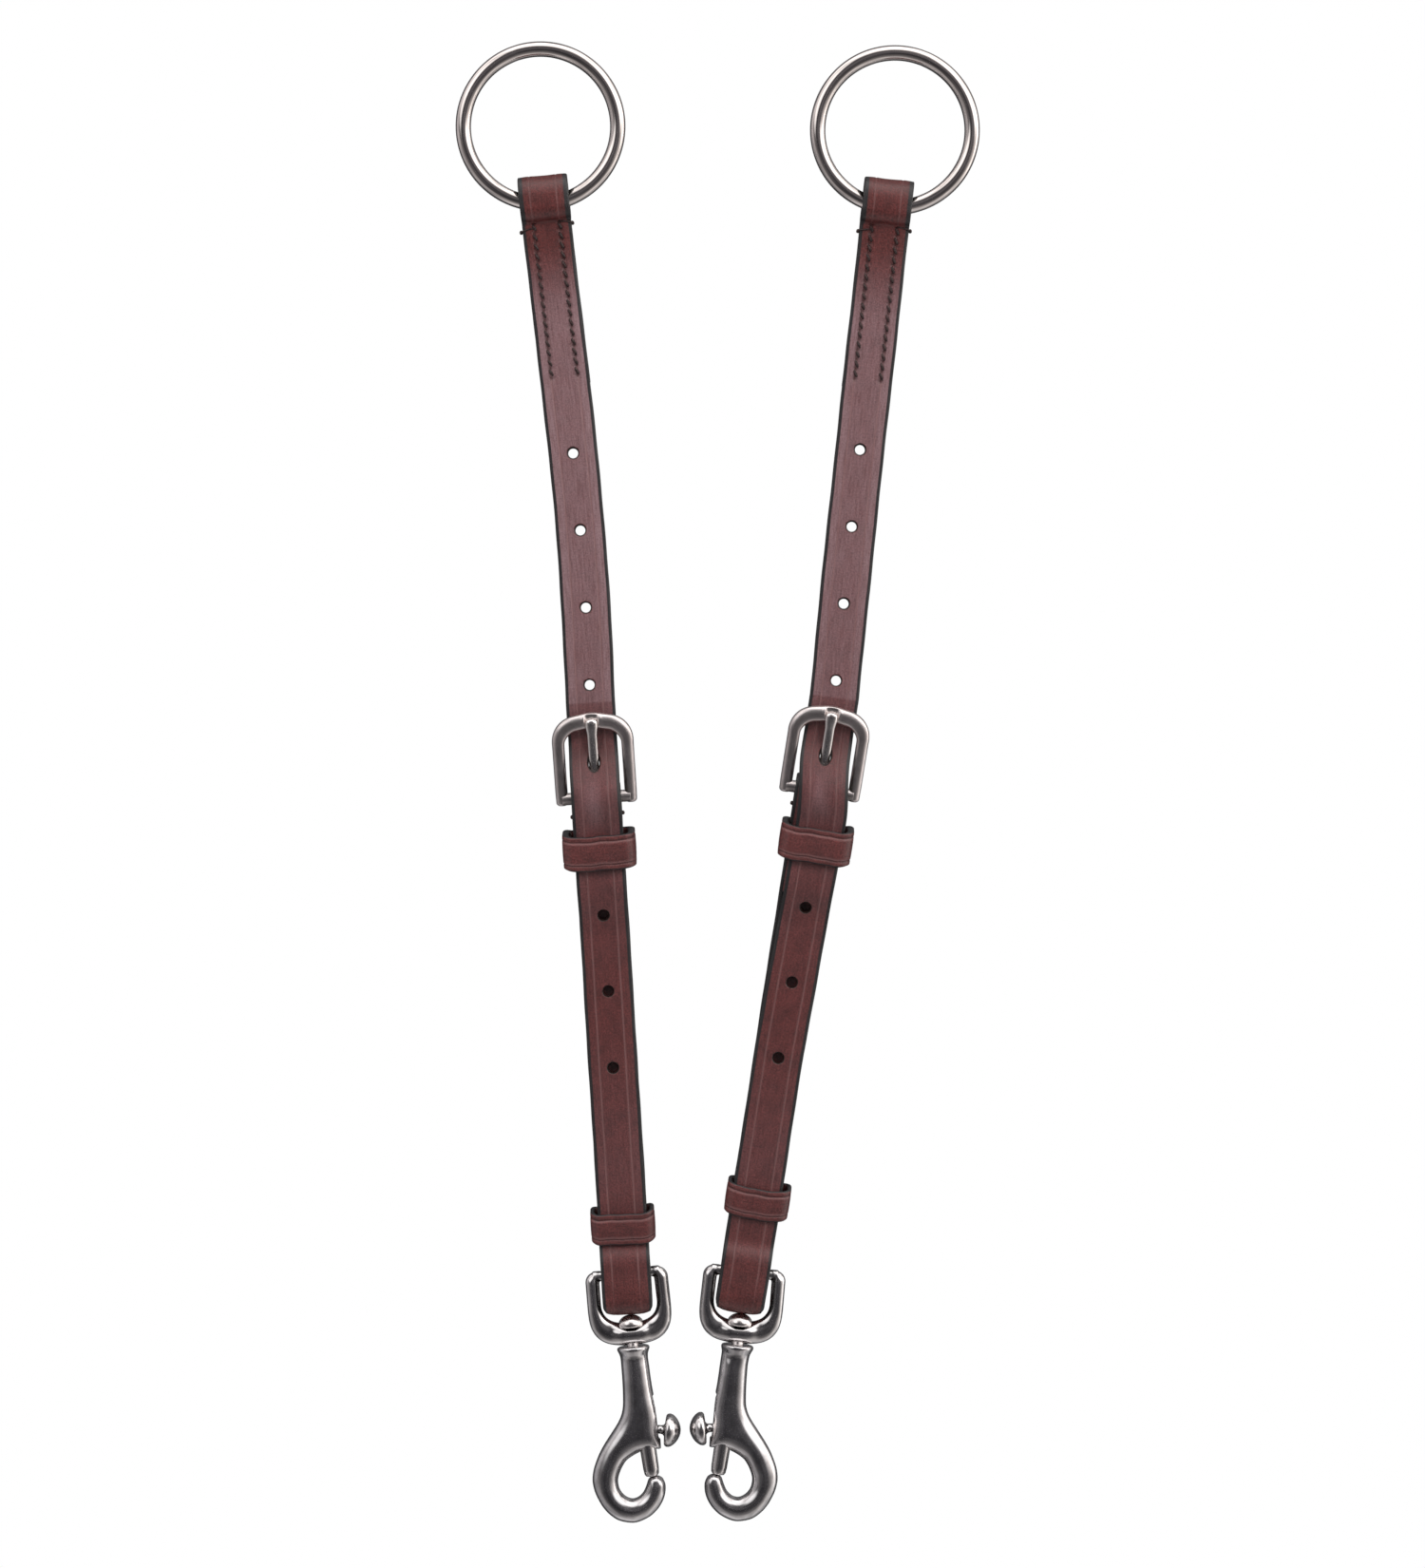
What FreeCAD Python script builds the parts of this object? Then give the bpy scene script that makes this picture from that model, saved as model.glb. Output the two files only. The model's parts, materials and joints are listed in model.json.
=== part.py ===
import FreeCAD, Part
import math
import os

# A pair of adjustable leather martingale attachments.  Each strap hangs from a round
# ring, runs behind and through a D-shaped buckle, through a sewn keeper and a sliding
# keeper, and loops round the top bar of a swivel eye that carries a bolt snap hook.
#
# Frame: millimetres, +Z up, +X to the right, -Y towards the front (outside) face.
# Origin: centre of the left ring.
# Every piece is drawn in its own hanging frame: x across the strap, -z down along the
# strap, y through its thickness.  Its Placement gives the lean it hangs at.

V = FreeCAD.Vector
doc = FreeCAD.newDocument("martingale")
exports = []

# ---------------------------------------------------------------- driving dimensions
DIM = {
    "ring_centre_radius": 25.0, "ring_wire_radius": 2.5,
    "strap_width": 16.0, "leather_thickness": 2.8, "layer_offset": 1.6,
    "loop_radius": 5.75, "punch_radius": 1.85, "hole_pitch": 25.0,
    "flex_gap": 0.6, "stitch_radius": 0.38, "stitch_length": 2.3, "stitch_pitch": 3.14,
    "stitch_row": 4.0,
    "frame_half_width": 13.2, "frame_window_half": 9.2, "frame_depth": 3.2,
    "frame_reach": 25.6, "arch_half": 2.5, "buckle_bar_radius": 2.0, "frame_tilt": 12.5,
    "tongue_width": 3.2, "tongue_thickness": 2.0, "tongue_tip": 26.3,
    "tongue_eye_radius": 3.8,
    "fold_radius": 3.6, "tongue_slot_width": 3.9, "fold_slot_width": 4.6,
    "keeper_height": 11.2, "keeper_leather": 2.2, "keeper_station": 17.3,
    "runner_height": 10.0, "runner_leather": 1.95,
    "eye_half_width": 14.0, "eye_window_half": 9.0, "eye_depth": 4.4,
    "eye_bar_radius": 1.65, "eye_bottom": 23.3, "eye_floor": 17.4,
    "eye_loop_radius": 3.8, "eye_loop_drop": 7.4,
    "rivet_head_radius": 4.1, "rivet_shank_radius": 2.0,
    "rivet_top": 13.3, "rivet_end": 30.5,
    "hook_depth": 8.0,
    "bolt_radius": 2.65, "bolt_length": 18.5, "bolt_lean": 3.2,
    "knob_radius": 5.4, "knob_neck_radius": 1.4, "knob_reach": 12.0, "knob_slot_width": 3.1,
    "spring_radius": 1.95, "spring_wire_radius": 0.35, "spring_pitch": 2.3,
}

# Bores are larger than what turns or slides in them by a small radial clearance.
TURNING_FIT = 0.06
SLIDING_FIT = 0.07
DIM["tongue_bore_radius"] = DIM["buckle_bar_radius"] + TURNING_FIT
DIM["rivet_bore_radius"] = DIM["rivet_shank_radius"] + TURNING_FIT
DIM["bolt_bore_radius"] = DIM["bolt_radius"] + SLIDING_FIT

# Leather sections used by both straps.
HALF_LEATHER = DIM["leather_thickness"] / 2
LAYER = DIM["layer_offset"]     # middle of a layer, off the strap's mid-plane
SKIVED_HALF = 0.5               # half thickness at a thinned tail end
TIP_LENGTH = 0.85               # length of the wedge ending a strap at the bending line

KNOB_PEG_START = 1.2            # inner end of the knob's neck, from the bolt's axis

# Each side's own measurements.  hand = +1: hook opens to the right; hand = -1: mirror
# image.  ring is the ring centre's (x, z).  Leans are degrees from the vertical,
# positive when the lower end is further right.  flex: ring loop to bending line;
# bar: bending line to buckle bar; reach: buckle bar to eye bar.  first_hole is measured
# from the ring loop, runner (the sliding keeper) from the buckle bar.
SIDES = {
    "left": dict(hand=1, ring=(0.0, 0.0), loop_angle=3.14, upper_lean=5.25, lower_lean=3.56,
                 hook_lean=5.5, flex=162.0, bar=30.9, first_hole=81.5, reach=154.4,
                 runner=139.0),
    "right": dict(hand=-1, ring=(114.7, -1.23), loop_angle=-6.2, upper_lean=-6.1,
                  lower_lean=-8.84, hook_lean=-5.7, flex=159.4, bar=30.6, first_hole=79.2,
                  reach=157.8, runner=134.4),
}

# Hook casting outline as (x, z) in the hanging frame, x towards the side that opens.
# Each run is one smooth curve; a straight edge joins each run to the next.
HOOK_RUNS = (
    # opening side of the barrel, top to bottom
    [(5.5, -23.5), (4.85, -26.5), (4.6, -30), (4.65, -34), (4.95, -38), (5.35, -41.5),
     (5.75, -45), (5.95, -49), (6.0, -53), (5.8, -57.4)],
    # inside of the hook, from the barrel's foot to the hook's tip
    [(1.4, -57.4), (-1.8, -58.1), (-5.3, -59.9), (-7.0, -61.8), (-8.1, -63.7),
     (-8.85, -65.6), (-9.0, -67.4), (-8.6, -69.4), (-7.3, -71.3), (-5.3, -72.5),
     (-3.2, -72.3), (-1.3, -70.9), (-0.1, -68.9), (0.6, -66.35)],
    # outside, from the tip round the bottom and up to the top
    [(5.6, -66.35), (6.15, -68.9), (6.0, -71.1), (5.4, -73.1), (4.3, -75.1), (2.5, -77.2),
     (-0.4, -79.2), (-4.9, -80.45), (-9.6, -79.4), (-12.5, -77.3), (-14.5, -74.8),
     (-15.9, -72), (-16.9, -69), (-17.25, -65.8), (-16.7, -62.6), (-15.5, -59.6),
     (-13.9, -56.6), (-11.9, -53.7), (-9.7, -50.9), (-7.6, -48.2), (-6.1, -45.7),
     (-5.2, -42.8), (-4.75, -39), (-4.5, -34.5), (-4.6, -30), (-4.85, -26.5),
     (-5.5, -23.5)],
)

sheet = doc.addObject("Spreadsheet::Sheet", "dims")
for row, (alias, value) in enumerate(DIM.items(), start=1):
    sheet.set("A%d" % row, alias)
    sheet.set("B%d" % row, "%g" % value)
    sheet.setAlias("B%d" % row, alias)
doc.recompute()


# ---------------------------------------------------------------- placing
def leaning(point, lean):
    """Placement at a point, with the lower end swung to the right by lean degrees."""
    return FreeCAD.Placement(point, FreeCAD.Rotation(V(0, 1, 0), -lean))


def moved(x, y, z):
    return FreeCAD.Placement(V(x, y, z), FreeCAD.Rotation())


def turned(axis, degrees):
    return FreeCAD.Placement(V(0, 0, 0), FreeCAD.Rotation(axis, degrees))


def along(point, lean, distance):
    """The point reached by going down a leaning line."""
    angle = math.radians(lean)
    return V(point.x + distance * math.sin(angle), 0, point.z - distance * math.cos(angle))


# ---------------------------------------------------------------- document objects
def new_object(kind, name):
    obj = doc.addObject(kind, name)
    obj.Label = name
    return obj


def new_body(name):
    return new_object("PartDesign::Body", name)


def export(obj, placement):
    obj.Placement = placement
    exports.append(obj)


def set_size(obj, prop, size):
    """Set a property to a number, or bind it to the dimension whose alias is given."""
    if isinstance(size, str):
        obj.setExpression(prop, "dims." + size)
    else:
        setattr(obj, prop, size)


def origin_feature(body, role):
    return [f for f in body.Origin.OriginFeatures if f.Role == role][0]


def sketch_on(body, name, role, geometry, offset=0):
    sketch = body.newObject("Sketcher::SketchObject", name)
    sketch.AttachmentSupport = [(origin_feature(body, role), "")]
    sketch.MapMode = "FlatFace"
    sketch.AttachmentOffset = moved(0, 0, offset)
    sketch.addGeometry(geometry, False)
    return sketch


def extrude(kind, body, name, sketch, length, symmetric, flip=False):
    feature = body.newObject(kind, name)
    feature.Profile = sketch
    if symmetric:
        feature.SideType = "Symmetric"
    if flip:
        feature.Reversed = True
    set_size(feature, "Length", length)
    doc.recompute()


def pad(body, name, sketch, length, symmetric=True):
    extrude("PartDesign::Pad", body, name, sketch, length, symmetric)


def pocket(body, name, sketch, length, symmetric=True, flip=False):
    before = body.Shape.Volume
    extrude("PartDesign::Pocket", body, name, sketch, length, symmetric, flip)
    if not body.Shape.Volume < before - 1e-6:
        raise RuntimeError("%s removed nothing" % name)


def revolve(body, name, sketch, axis_role):
    turning = body.newObject("PartDesign::Revolution", name)
    turning.Profile = sketch
    turning.ReferenceAxis = (origin_feature(body, axis_role), "")
    turning.Angle = 360
    doc.recompute()


def solid_tool(kind, name, placement, **sizes):
    tool = new_object(kind, name)
    for prop, size in sizes.items():
        set_size(tool, prop, size)
    tool.Placement = placement
    return tool


def export_cut(name, base, tool, placement):
    cut = new_object("Part::Cut", name)
    cut.Base = base
    cut.Tool = tool
    doc.recompute()
    export(cut, placement)


def round_edges(body, name, radii, wanted):
    """Fillet the wanted edges with the first radius that works; if none does, the
    edges stay sharp."""
    base = body.Tip
    volume = body.Shape.Volume
    edges = ["Edge%d" % i for i, edge in enumerate(base.Shape.Edges, start=1) if wanted(edge)]
    for radius in radii:
        fillet = body.newObject("PartDesign::Fillet", name)
        fillet.Base = (base, edges)
        fillet.Radius = radius
        doc.recompute()
        # Guards against a fillet the kernel refuses or builds wrongly.
        bad = ("Invalid" in fillet.State or "Error" in fillet.State
               or fillet.Shape.isNull() or not fillet.Shape.isValid()
               or not 0.5 * volume < fillet.Shape.Volume < volume * 1.001)
        if not bad:
            return
        body.removeObject(fillet)
        doc.removeObject(fillet.Name)
        body.Tip = base
        doc.recompute()


def face_rims(depth, shortest=0.0):
    """Edge test: lies in the front or back face of a plate and is long enough."""
    def wanted(edge):
        ys = [vertex.Y for vertex in edge.Vertexes] + [edge.CenterOfMass.y]
        return edge.Length > shortest and all(abs(abs(y) - depth / 2) < 1e-4 for y in ys)
    return wanted


# ---------------------------------------------------------------- sketch geometry
def flat(point):
    return V(point[0], point[1], 0)


def lines(points):
    """Open chain of straight segments."""
    return [Part.LineSegment(flat(a), flat(b)) for a, b in zip(points, points[1:])]


def polygon(points):
    return lines(points + points[:1])


def arc(start, middle, end):
    return Part.Arc(flat(start), flat(middle), flat(end))


def circle(x, y, radius):
    return Part.Circle(V(x, y, 0), V(0, 0, 1), radius)


def rounded(points):
    """Closed outline from (x, y, corner radius) points; radius 0 keeps a sharp corner."""
    corners = []    # (start, end, middle of the arc or None)
    for i, (x, y, radius) in enumerate(points):
        corner = V(x, y, 0)
        if radius <= 0:
            corners.append((corner, corner, None))
            continue
        back = flat(points[i - 1]) - corner
        ahead = flat(points[(i + 1) % len(points)]) - corner
        back.normalize()
        ahead.normalize()
        half_angle = math.acos(max(-1, min(1, back.dot(ahead)))) / 2
        trim = radius / math.tan(half_angle)
        inward = back + ahead
        inward.normalize()
        middle = corner + inward * (radius / math.sin(half_angle) - radius)
        corners.append((corner + back * trim, corner + ahead * trim, middle))
    geometry = []
    for i, (start, end, middle) in enumerate(corners):
        if middle is not None:
            geometry.append(Part.Arc(start, middle, end))
        following = corners[(i + 1) % len(corners)][0]
        if end.distanceToPoint(following) > 1e-6:
            geometry.append(Part.LineSegment(end, following))
    return geometry


class Ribbon:
    """Side profile of a folded leather strap: a centre path of lines and tangent arcs
    with leather on both sides.  Plane coordinates are (y, z); a heading of -90 is down.
    A path starts and ends with a line."""

    def __init__(self, y, z, heading):
        self.point = V(y, z, 0)
        self.heading = math.radians(heading)
        self.left = []
        self.right = []

    def normal(self, turn=0.0):
        """Unit vector to the left of the heading, after a further turn in radians."""
        angle = self.heading + turn
        return V(-math.sin(angle), math.cos(angle), 0)

    def line(self, length, half_from=HALF_LEATHER, half_to=HALF_LEATHER):
        normal = self.normal()
        start = self.point
        end = start + V(math.cos(self.heading), math.sin(self.heading), 0) * length
        self.left.append(Part.LineSegment(start + normal * half_from, end + normal * half_to))
        self.right.append(Part.LineSegment(start - normal * half_from, end - normal * half_to))
        self.point = end
        return self

    def arc(self, radius, turn):
        """Bend by turn degrees, left positive."""
        angle = math.radians(turn)
        signed_radius = math.copysign(radius, turn)
        centre = self.point + self.normal() * signed_radius

        def at(offset, turned_by):
            return centre - self.normal(turned_by) * (signed_radius - offset)
        for edge, offset in ((self.left, HALF_LEATHER), (self.right, -HALF_LEATHER)):
            edge.append(Part.Arc(at(offset, 0), at(offset, angle / 2), at(offset, angle)))
        self.point = at(0, angle)
        self.heading += angle
        return self

    def jog(self, length, shift):
        """S-bend: forward by length and sideways by shift (left positive)."""
        radius = (length ** 2 + shift ** 2) / (4 * abs(shift))
        turn = math.copysign(math.degrees(2 * math.atan(abs(shift) / length)), shift)
        return self.arc(radius, turn).arc(radius, -turn)

    def outline(self, start_tip=None, end_tip=None):
        """Both edges and the two ends; an end with a tip comes to a point there."""
        geometry = self.left + self.right
        ends = ((self.left[0].StartPoint, start_tip, self.right[0].StartPoint),
                (self.left[-1].EndPoint, end_tip, self.right[-1].EndPoint))
        for end in ends:
            geometry += lines([point for point in end if point is not None])
        return geometry


# ---------------------------------------------------------------- ring and leather
def make_ring(prefix, centre):
    ring = new_object("Part::Torus", prefix + "ring")
    set_size(ring, "Radius1", "ring_centre_radius")
    set_size(ring, "Radius2", "ring_wire_radius")
    export(ring, FreeCAD.Placement(centre, FreeCAD.Rotation(V(1, 0, 0), 90)))


def make_upper_strap(prefix, side, placement):
    """Skived tail behind, loop round the ring, single layer in front down to the
    bending line above the buckle, with four punched holes."""
    tail, skive = 59.0, 6.0
    neck_end = 7.2              # where the two layers meet below the loop
    neck_bend, loop_leg = 5.4, 3.6
    spread = DIM["loop_radius"] - LAYER
    end = side["flex"] - DIM["flex_gap"] / 2

    body = new_body(prefix + "strap_upper")
    path = Ribbon(LAYER, -tail, 90)
    path.line(skive, half_from=SKIVED_HALF).line(tail - skive - neck_end)
    path.jog(neck_bend, -spread).line(loop_leg)
    path.arc(DIM["loop_radius"], 180)
    path.line(loop_leg).jog(neck_bend, spread).line(end - neck_end - TIP_LENGTH)
    sketch = sketch_on(body, prefix + "upper_profile", "YZ_Plane",
                       path.outline(end_tip=V(-LAYER, -end, 0)))
    pad(body, prefix + "upper_pad", sketch, "strap_width")

    holes = [circle(0, -(side["first_hole"] + i * DIM["hole_pitch"]), DIM["punch_radius"])
             for i in range(4)]
    sketch = sketch_on(body, prefix + "upper_holes", "XZ_Plane", holes)
    pocket(body, prefix + "upper_punch", sketch, 20)
    export(body, placement)


def make_lower_strap(prefix, side, placement):
    """Behind the buckle's arch, forward over the bar, down the front, round the eye's
    bar, back up behind, folded round the buckle bar, skived tail between the layers."""
    start = side["bar"] - DIM["flex_gap"] / 2
    reach = side["reach"]
    # Front layer near the buckle: forward to clear the bar, partly back, straight over
    # the tail, then back to the mid-plane's own layer.
    rise, rise_shift = 22, 5.1
    ease, ease_shift = 14, 1.8
    over_tail = 20
    settle, settle_shift = 12, 3.3
    # Eye loop: bends and legs above the eye bar.
    eye_bend, eye_leg = 8, 3
    eye_neck = eye_bend + eye_leg
    eye_spread = DIM["eye_loop_radius"] - LAYER
    # Fold round the buckle bar.
    fold_bend, fold_leg = 13.5, 0.5
    fold_neck = fold_bend + fold_leg
    fold_spread = DIM["fold_radius"] - LAYER
    tail, skive = 16, 4

    body = new_body(prefix + "strap_lower")
    path = Ribbon(-LAYER, start - TIP_LENGTH, -90)
    path.line(start - TIP_LENGTH - rise).jog(rise, -rise_shift).jog(ease, ease_shift)
    path.line(over_tail).jog(settle, settle_shift)
    path.line(reach - eye_neck - (ease + over_tail + settle))
    path.jog(eye_bend, -eye_spread).line(eye_leg + DIM["eye_loop_drop"])
    path.arc(DIM["eye_loop_radius"], 180)
    path.line(eye_leg + DIM["eye_loop_drop"]).jog(eye_bend, eye_spread)
    path.line(reach - eye_neck - fold_neck)
    path.jog(fold_bend, -fold_spread).line(fold_leg)
    path.arc(DIM["fold_radius"], 180)
    path.line(fold_leg).jog(fold_bend, fold_spread)
    path.line(tail).line(skive, half_to=SKIVED_HALF)
    sketch = sketch_on(body, prefix + "lower_profile", "YZ_Plane",
                       path.outline(start_tip=V(-LAYER, start, 0)))
    pad(body, prefix + "lower_pad", sketch, "strap_width")

    # Room in the fold for the tongue's eye.
    fold_slot_radius = 5.1
    sketch = sketch_on(body, prefix + "fold_slot", "YZ_Plane", [circle(0, 0, fold_slot_radius)])
    pocket(body, prefix + "fold_slot_cut", sketch, "fold_slot_width")

    # Slot for the prong, drawn along the tilted buckle frame.
    tilt = math.radians(DIM["frame_tilt"])

    def on_frame(up, forward):
        return (-up * math.sin(tilt) - forward * math.cos(tilt),
                up * math.cos(tilt) - forward * math.sin(tilt))
    slot = polygon([on_frame(5.9, 0.55), on_frame(5.9, 3.7),
                    on_frame(17.5, 4.4), on_frame(17.5, 0.55)])
    sketch = sketch_on(body, prefix + "tongue_slot", "YZ_Plane", slot)
    pocket(body, prefix + "tongue_slot_cut", sketch, "tongue_slot_width")

    # Three holes through the front layer only.
    first_hole, pitch = 37.9, 24.8
    holes = [circle(0, -(first_hole + i * pitch), DIM["punch_radius"]) for i in range(3)]
    sketch = sketch_on(body, prefix + "lower_holes", "XZ_Plane", holes)
    pocket(body, prefix + "lower_punch", sketch, 9, symmetric=False, flip=True)
    export(body, placement)


def make_stitches(name, rows, faces, first, count, placement):
    """Sewing thread: one short round solid for every visible stitch.  rows are x
    places, faces are y places and first is how far down the top stitch is centred."""
    length = DIM["stitch_length"]
    solids = []
    for x in rows:
        for y in faces:
            for i in range(count):
                top = V(x, y, length / 2 - (first + i * DIM["stitch_pitch"]))
                solids.append(Part.makeCylinder(DIM["stitch_radius"], length, top, V(0, 0, -1)))
    thread = new_object("Part::Feature", name)
    thread.Shape = Part.makeCompound(solids)
    export(thread, placement)


def make_keeper(name, half_width, front, back, leather, height, placement):
    """Closed leather loop round all the layers.  front and back are the y limits of
    its opening; height is a dimension's alias."""
    corner = 1.2

    def loop(x, y0, y1, radius):
        return rounded([(-x, y0, radius), (x, y0, radius), (x, y1, radius), (-x, y1, radius)])
    body = new_body(name)
    outer = loop(half_width + leather, front - leather, back + leather, leather + corner)
    opening = loop(half_width, front, back, corner)
    sketch = sketch_on(body, name + "_section", "XY_Plane", outer + opening)
    pad(body, name + "_pad", sketch, height)
    export(body, placement)


# ---------------------------------------------------------------- buckle
def make_buckle_frame(prefix, placement):
    """Flat D with a round bar at its foot and a notch in front for the tongue."""
    half_width, window = DIM["frame_half_width"], DIM["frame_window_half"]
    depth = DIM["frame_depth"]
    foot = -2.4
    top = DIM["frame_reach"] + DIM["arch_half"]
    inner = DIM["frame_reach"] - DIM["arch_half"]

    body = new_body(prefix + "buckle_frame")
    sketch = sketch_on(body, prefix + "frame_outline", "XZ_Plane", rounded([
        (-half_width, foot, 1.6), (-half_width, top, 6.5),
        (half_width, top, 6.5), (half_width, foot, 1.6),
        (window, foot, 1.0), (window, inner, 3.2),
        (-window, inner, 3.2), (-window, foot, 1.0)]))
    pad(body, prefix + "frame_pad", sketch, "frame_depth")
    round_edges(body, prefix + "frame_rims", (0.9,), face_rims(depth))

    bar_overlap = 0.7           # bar sunk into each side of the frame
    sketch = sketch_on(body, prefix + "frame_bar", "YZ_Plane",
                       [circle(0, 0, DIM["buckle_bar_radius"])])
    pad(body, prefix + "frame_bar_pad", sketch, 2 * (window + bar_overlap))

    notch_front, notch_floor = -depth / 2 - 0.2, -0.8
    overrun, side_gap = 0.5, 0.3
    sketch = sketch_on(body, prefix + "tongue_notch", "YZ_Plane", polygon([
        (notch_front, inner - overrun), (notch_floor, inner - overrun),
        (notch_floor, top + overrun), (notch_front, top + overrun)]))
    pocket(body, prefix + "tongue_notch_cut", sketch, DIM["tongue_width"] + 2 * side_gap)
    export(body, placement)


def make_buckle_tongue(prefix, placement):
    """Eye round the bar, flat prong resting in the arch's notch."""
    root, tip = 1.2, DIM["tongue_tip"]
    back = -0.85
    front = back - DIM["tongue_thickness"]

    body = new_body(prefix + "buckle_tongue")
    sketch = sketch_on(body, prefix + "tongue_eye", "YZ_Plane",
                       [circle(0, 0, DIM["tongue_eye_radius"])])
    pad(body, prefix + "tongue_eye_pad", sketch, "tongue_width")
    sketch = sketch_on(body, prefix + "tongue_prong", "YZ_Plane", rounded([
        (back, root, 0), (back, tip, 0.5), (front, tip, 1.2), (front, root, 0)]))
    pad(body, prefix + "tongue_prong_pad", sketch, "tongue_width")
    sketch = sketch_on(body, prefix + "tongue_bore", "YZ_Plane",
                       [circle(0, 0, DIM["tongue_bore_radius"])])
    pocket(body, prefix + "tongue_bore_cut", sketch, 6)
    export(body, placement)


# ---------------------------------------------------------------- swivel and hook
def make_snap_eye(prefix, placement):
    """Rounded square frame, round top bar, bored foot."""
    half_width, window = DIM["eye_half_width"], DIM["eye_window_half"]
    shoulder = DIM["eye_bar_radius"] + 0.35
    bottom, floor = -DIM["eye_bottom"], -DIM["eye_floor"]

    body = new_body(prefix + "snap_eye")
    sketch = sketch_on(body, prefix + "eye_outline", "XZ_Plane", rounded([
        (-window, shoulder, 0), (-half_width, shoulder, 4.2), (-half_width, bottom, 9.5),
        (half_width, bottom, 9.5), (half_width, shoulder, 4.2), (window, shoulder, 0),
        (window, floor, 3.6), (-window, floor, 3.6)]))
    pad(body, prefix + "eye_pad", sketch, "eye_depth")
    round_edges(body, prefix + "eye_rims", (1.5, 1.2, 0.9), face_rims(DIM["eye_depth"]))

    bar_overlap = 1.2
    sketch = sketch_on(body, prefix + "eye_bar", "YZ_Plane",
                       [circle(0, 0, DIM["eye_bar_radius"])])
    pad(body, prefix + "eye_bar_pad", sketch, 2 * (window + bar_overlap))

    # Bored downwards from inside the window, so the top bar stays whole.
    sketch = sketch_on(body, prefix + "rivet_bore", "XY_Plane",
                       [circle(0, 0, DIM["rivet_bore_radius"])], offset=-12.0)
    pocket(body, prefix + "rivet_bore_cut", sketch, 30, symmetric=False)
    export(body, placement)


def make_swivel_rivet(prefix, placement):
    """Domed head inside the eye, shank down into the hook."""
    head, shank = DIM["rivet_head_radius"], DIM["rivet_shank_radius"]
    top, end = -DIM["rivet_top"], -DIM["rivet_end"]
    rim = top - 2.7
    seat = -DIM["eye_floor"] + TURNING_FIT

    body = new_body(prefix + "swivel_rivet")
    profile = [arc((0, top), (2.75, top - 0.75), (head, rim))]
    profile += lines([(head, rim), (head - 0.3, seat), (shank, seat), (shank, end),
                      (0, end), (0, top)])
    sketch = sketch_on(body, prefix + "rivet_profile", "XZ_Plane", profile)
    revolve(body, prefix + "rivet_turn", sketch, "Z_Axis")
    export(body, placement)


def make_snap_hook(prefix, hand, bolt_place, placement):
    """Cast C-shaped body open on one side, bored for the bolt and the rivet."""
    runs = [[V(hand * x, z, 0) for x, z in run] for run in HOOK_RUNS]
    outline = []
    for i, run in enumerate(runs):
        curve = Part.BSplineCurve()
        curve.interpolate(Points=run)
        outline.append(curve)
        outline.append(Part.LineSegment(run[-1], runs[(i + 1) % len(runs)][0]))
    body = new_body(prefix + "hook_casting")
    sketch = sketch_on(body, prefix + "hook_outline", "XZ_Plane", outline)
    pad(body, prefix + "hook_pad", sketch, "hook_depth")
    # Only the long rims, inside and outside the hook's curve, may be rounded.
    round_edges(body, prefix + "hook_rims", (2.0, 1.5, 1.0),
                face_rims(DIM["hook_depth"], shortest=30.0))

    slot_length, slot_foot = 9.0, -1.8
    slot_x = 0.0 if hand > 0 else -slot_length
    bore = solid_tool("Part::Cylinder", prefix + "bolt_bore", bolt_place * moved(0, 0, -11.0),
                      Radius="bolt_bore_radius", Height=26.2)
    seat = solid_tool("Part::Cylinder", prefix + "rivet_seat", moved(0, 0, -DIM["rivet_end"]),
                      Radius="rivet_shank_radius", Height=12.0)
    slot = solid_tool("Part::Box", prefix + "knob_slot",
                      bolt_place * moved(slot_x, -DIM["knob_slot_width"] / 2, slot_foot),
                      Length=slot_length, Width="knob_slot_width", Height=12.6)
    doc.recompute()
    tools = new_object("Part::MultiFuse", prefix + "hook_tools")
    tools.Shapes = [bore, seat, slot]
    export_cut(prefix + "snap_hook", body, tools, placement)


def make_snap_bolt(prefix, hand, placement):
    """Round rod with a rounded lower end and a side hole for the knob's neck."""
    foot = -15.0
    body = new_body(prefix + "bolt_rod")
    sketch = sketch_on(body, prefix + "bolt_section", "XY_Plane",
                       [circle(0, 0, DIM["bolt_radius"])], offset=foot)
    pad(body, prefix + "bolt_pad", sketch, "bolt_length", symmetric=False)
    round_edges(body, prefix + "bolt_tip", (1.1,),
                lambda edge: abs(edge.CenterOfMass.z - foot) < 1e-4)
    peg = solid_tool("Part::Cylinder", prefix + "peg_bore",
                     moved(hand * KNOB_PEG_START, 0, 0) * turned(V(0, 1, 0), 90 * hand),
                     Radius="knob_neck_radius", Height=6.0)
    doc.recompute()
    export_cut(prefix + "snap_bolt", body, peg, placement)


def make_thumb_knob(prefix, placement):
    """Neck and domed head turned about the x axis, reaching out along +x."""
    neck, radius, reach = DIM["knob_neck_radius"], DIM["knob_radius"], DIM["knob_reach"]
    start = KNOB_PEG_START
    under_rim, rim, end = (7.1, radius - 0.7), (8.3, radius), (reach, 0.7)

    body = new_body(prefix + "thumb_knob")
    profile = lines([(start, 0), (start, neck), (6.6, neck), under_rim])
    profile += [arc(under_rim, (7.6, radius - 0.1), rim), arc(rim, (11.0, 3.55), end)]
    profile += lines([end, (reach, 0), (start, 0)])
    sketch = sketch_on(body, prefix + "knob_profile", "XZ_Plane", profile)
    revolve(body, prefix + "knob_turn", sketch, "X_Axis")
    export(body, placement)


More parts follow.
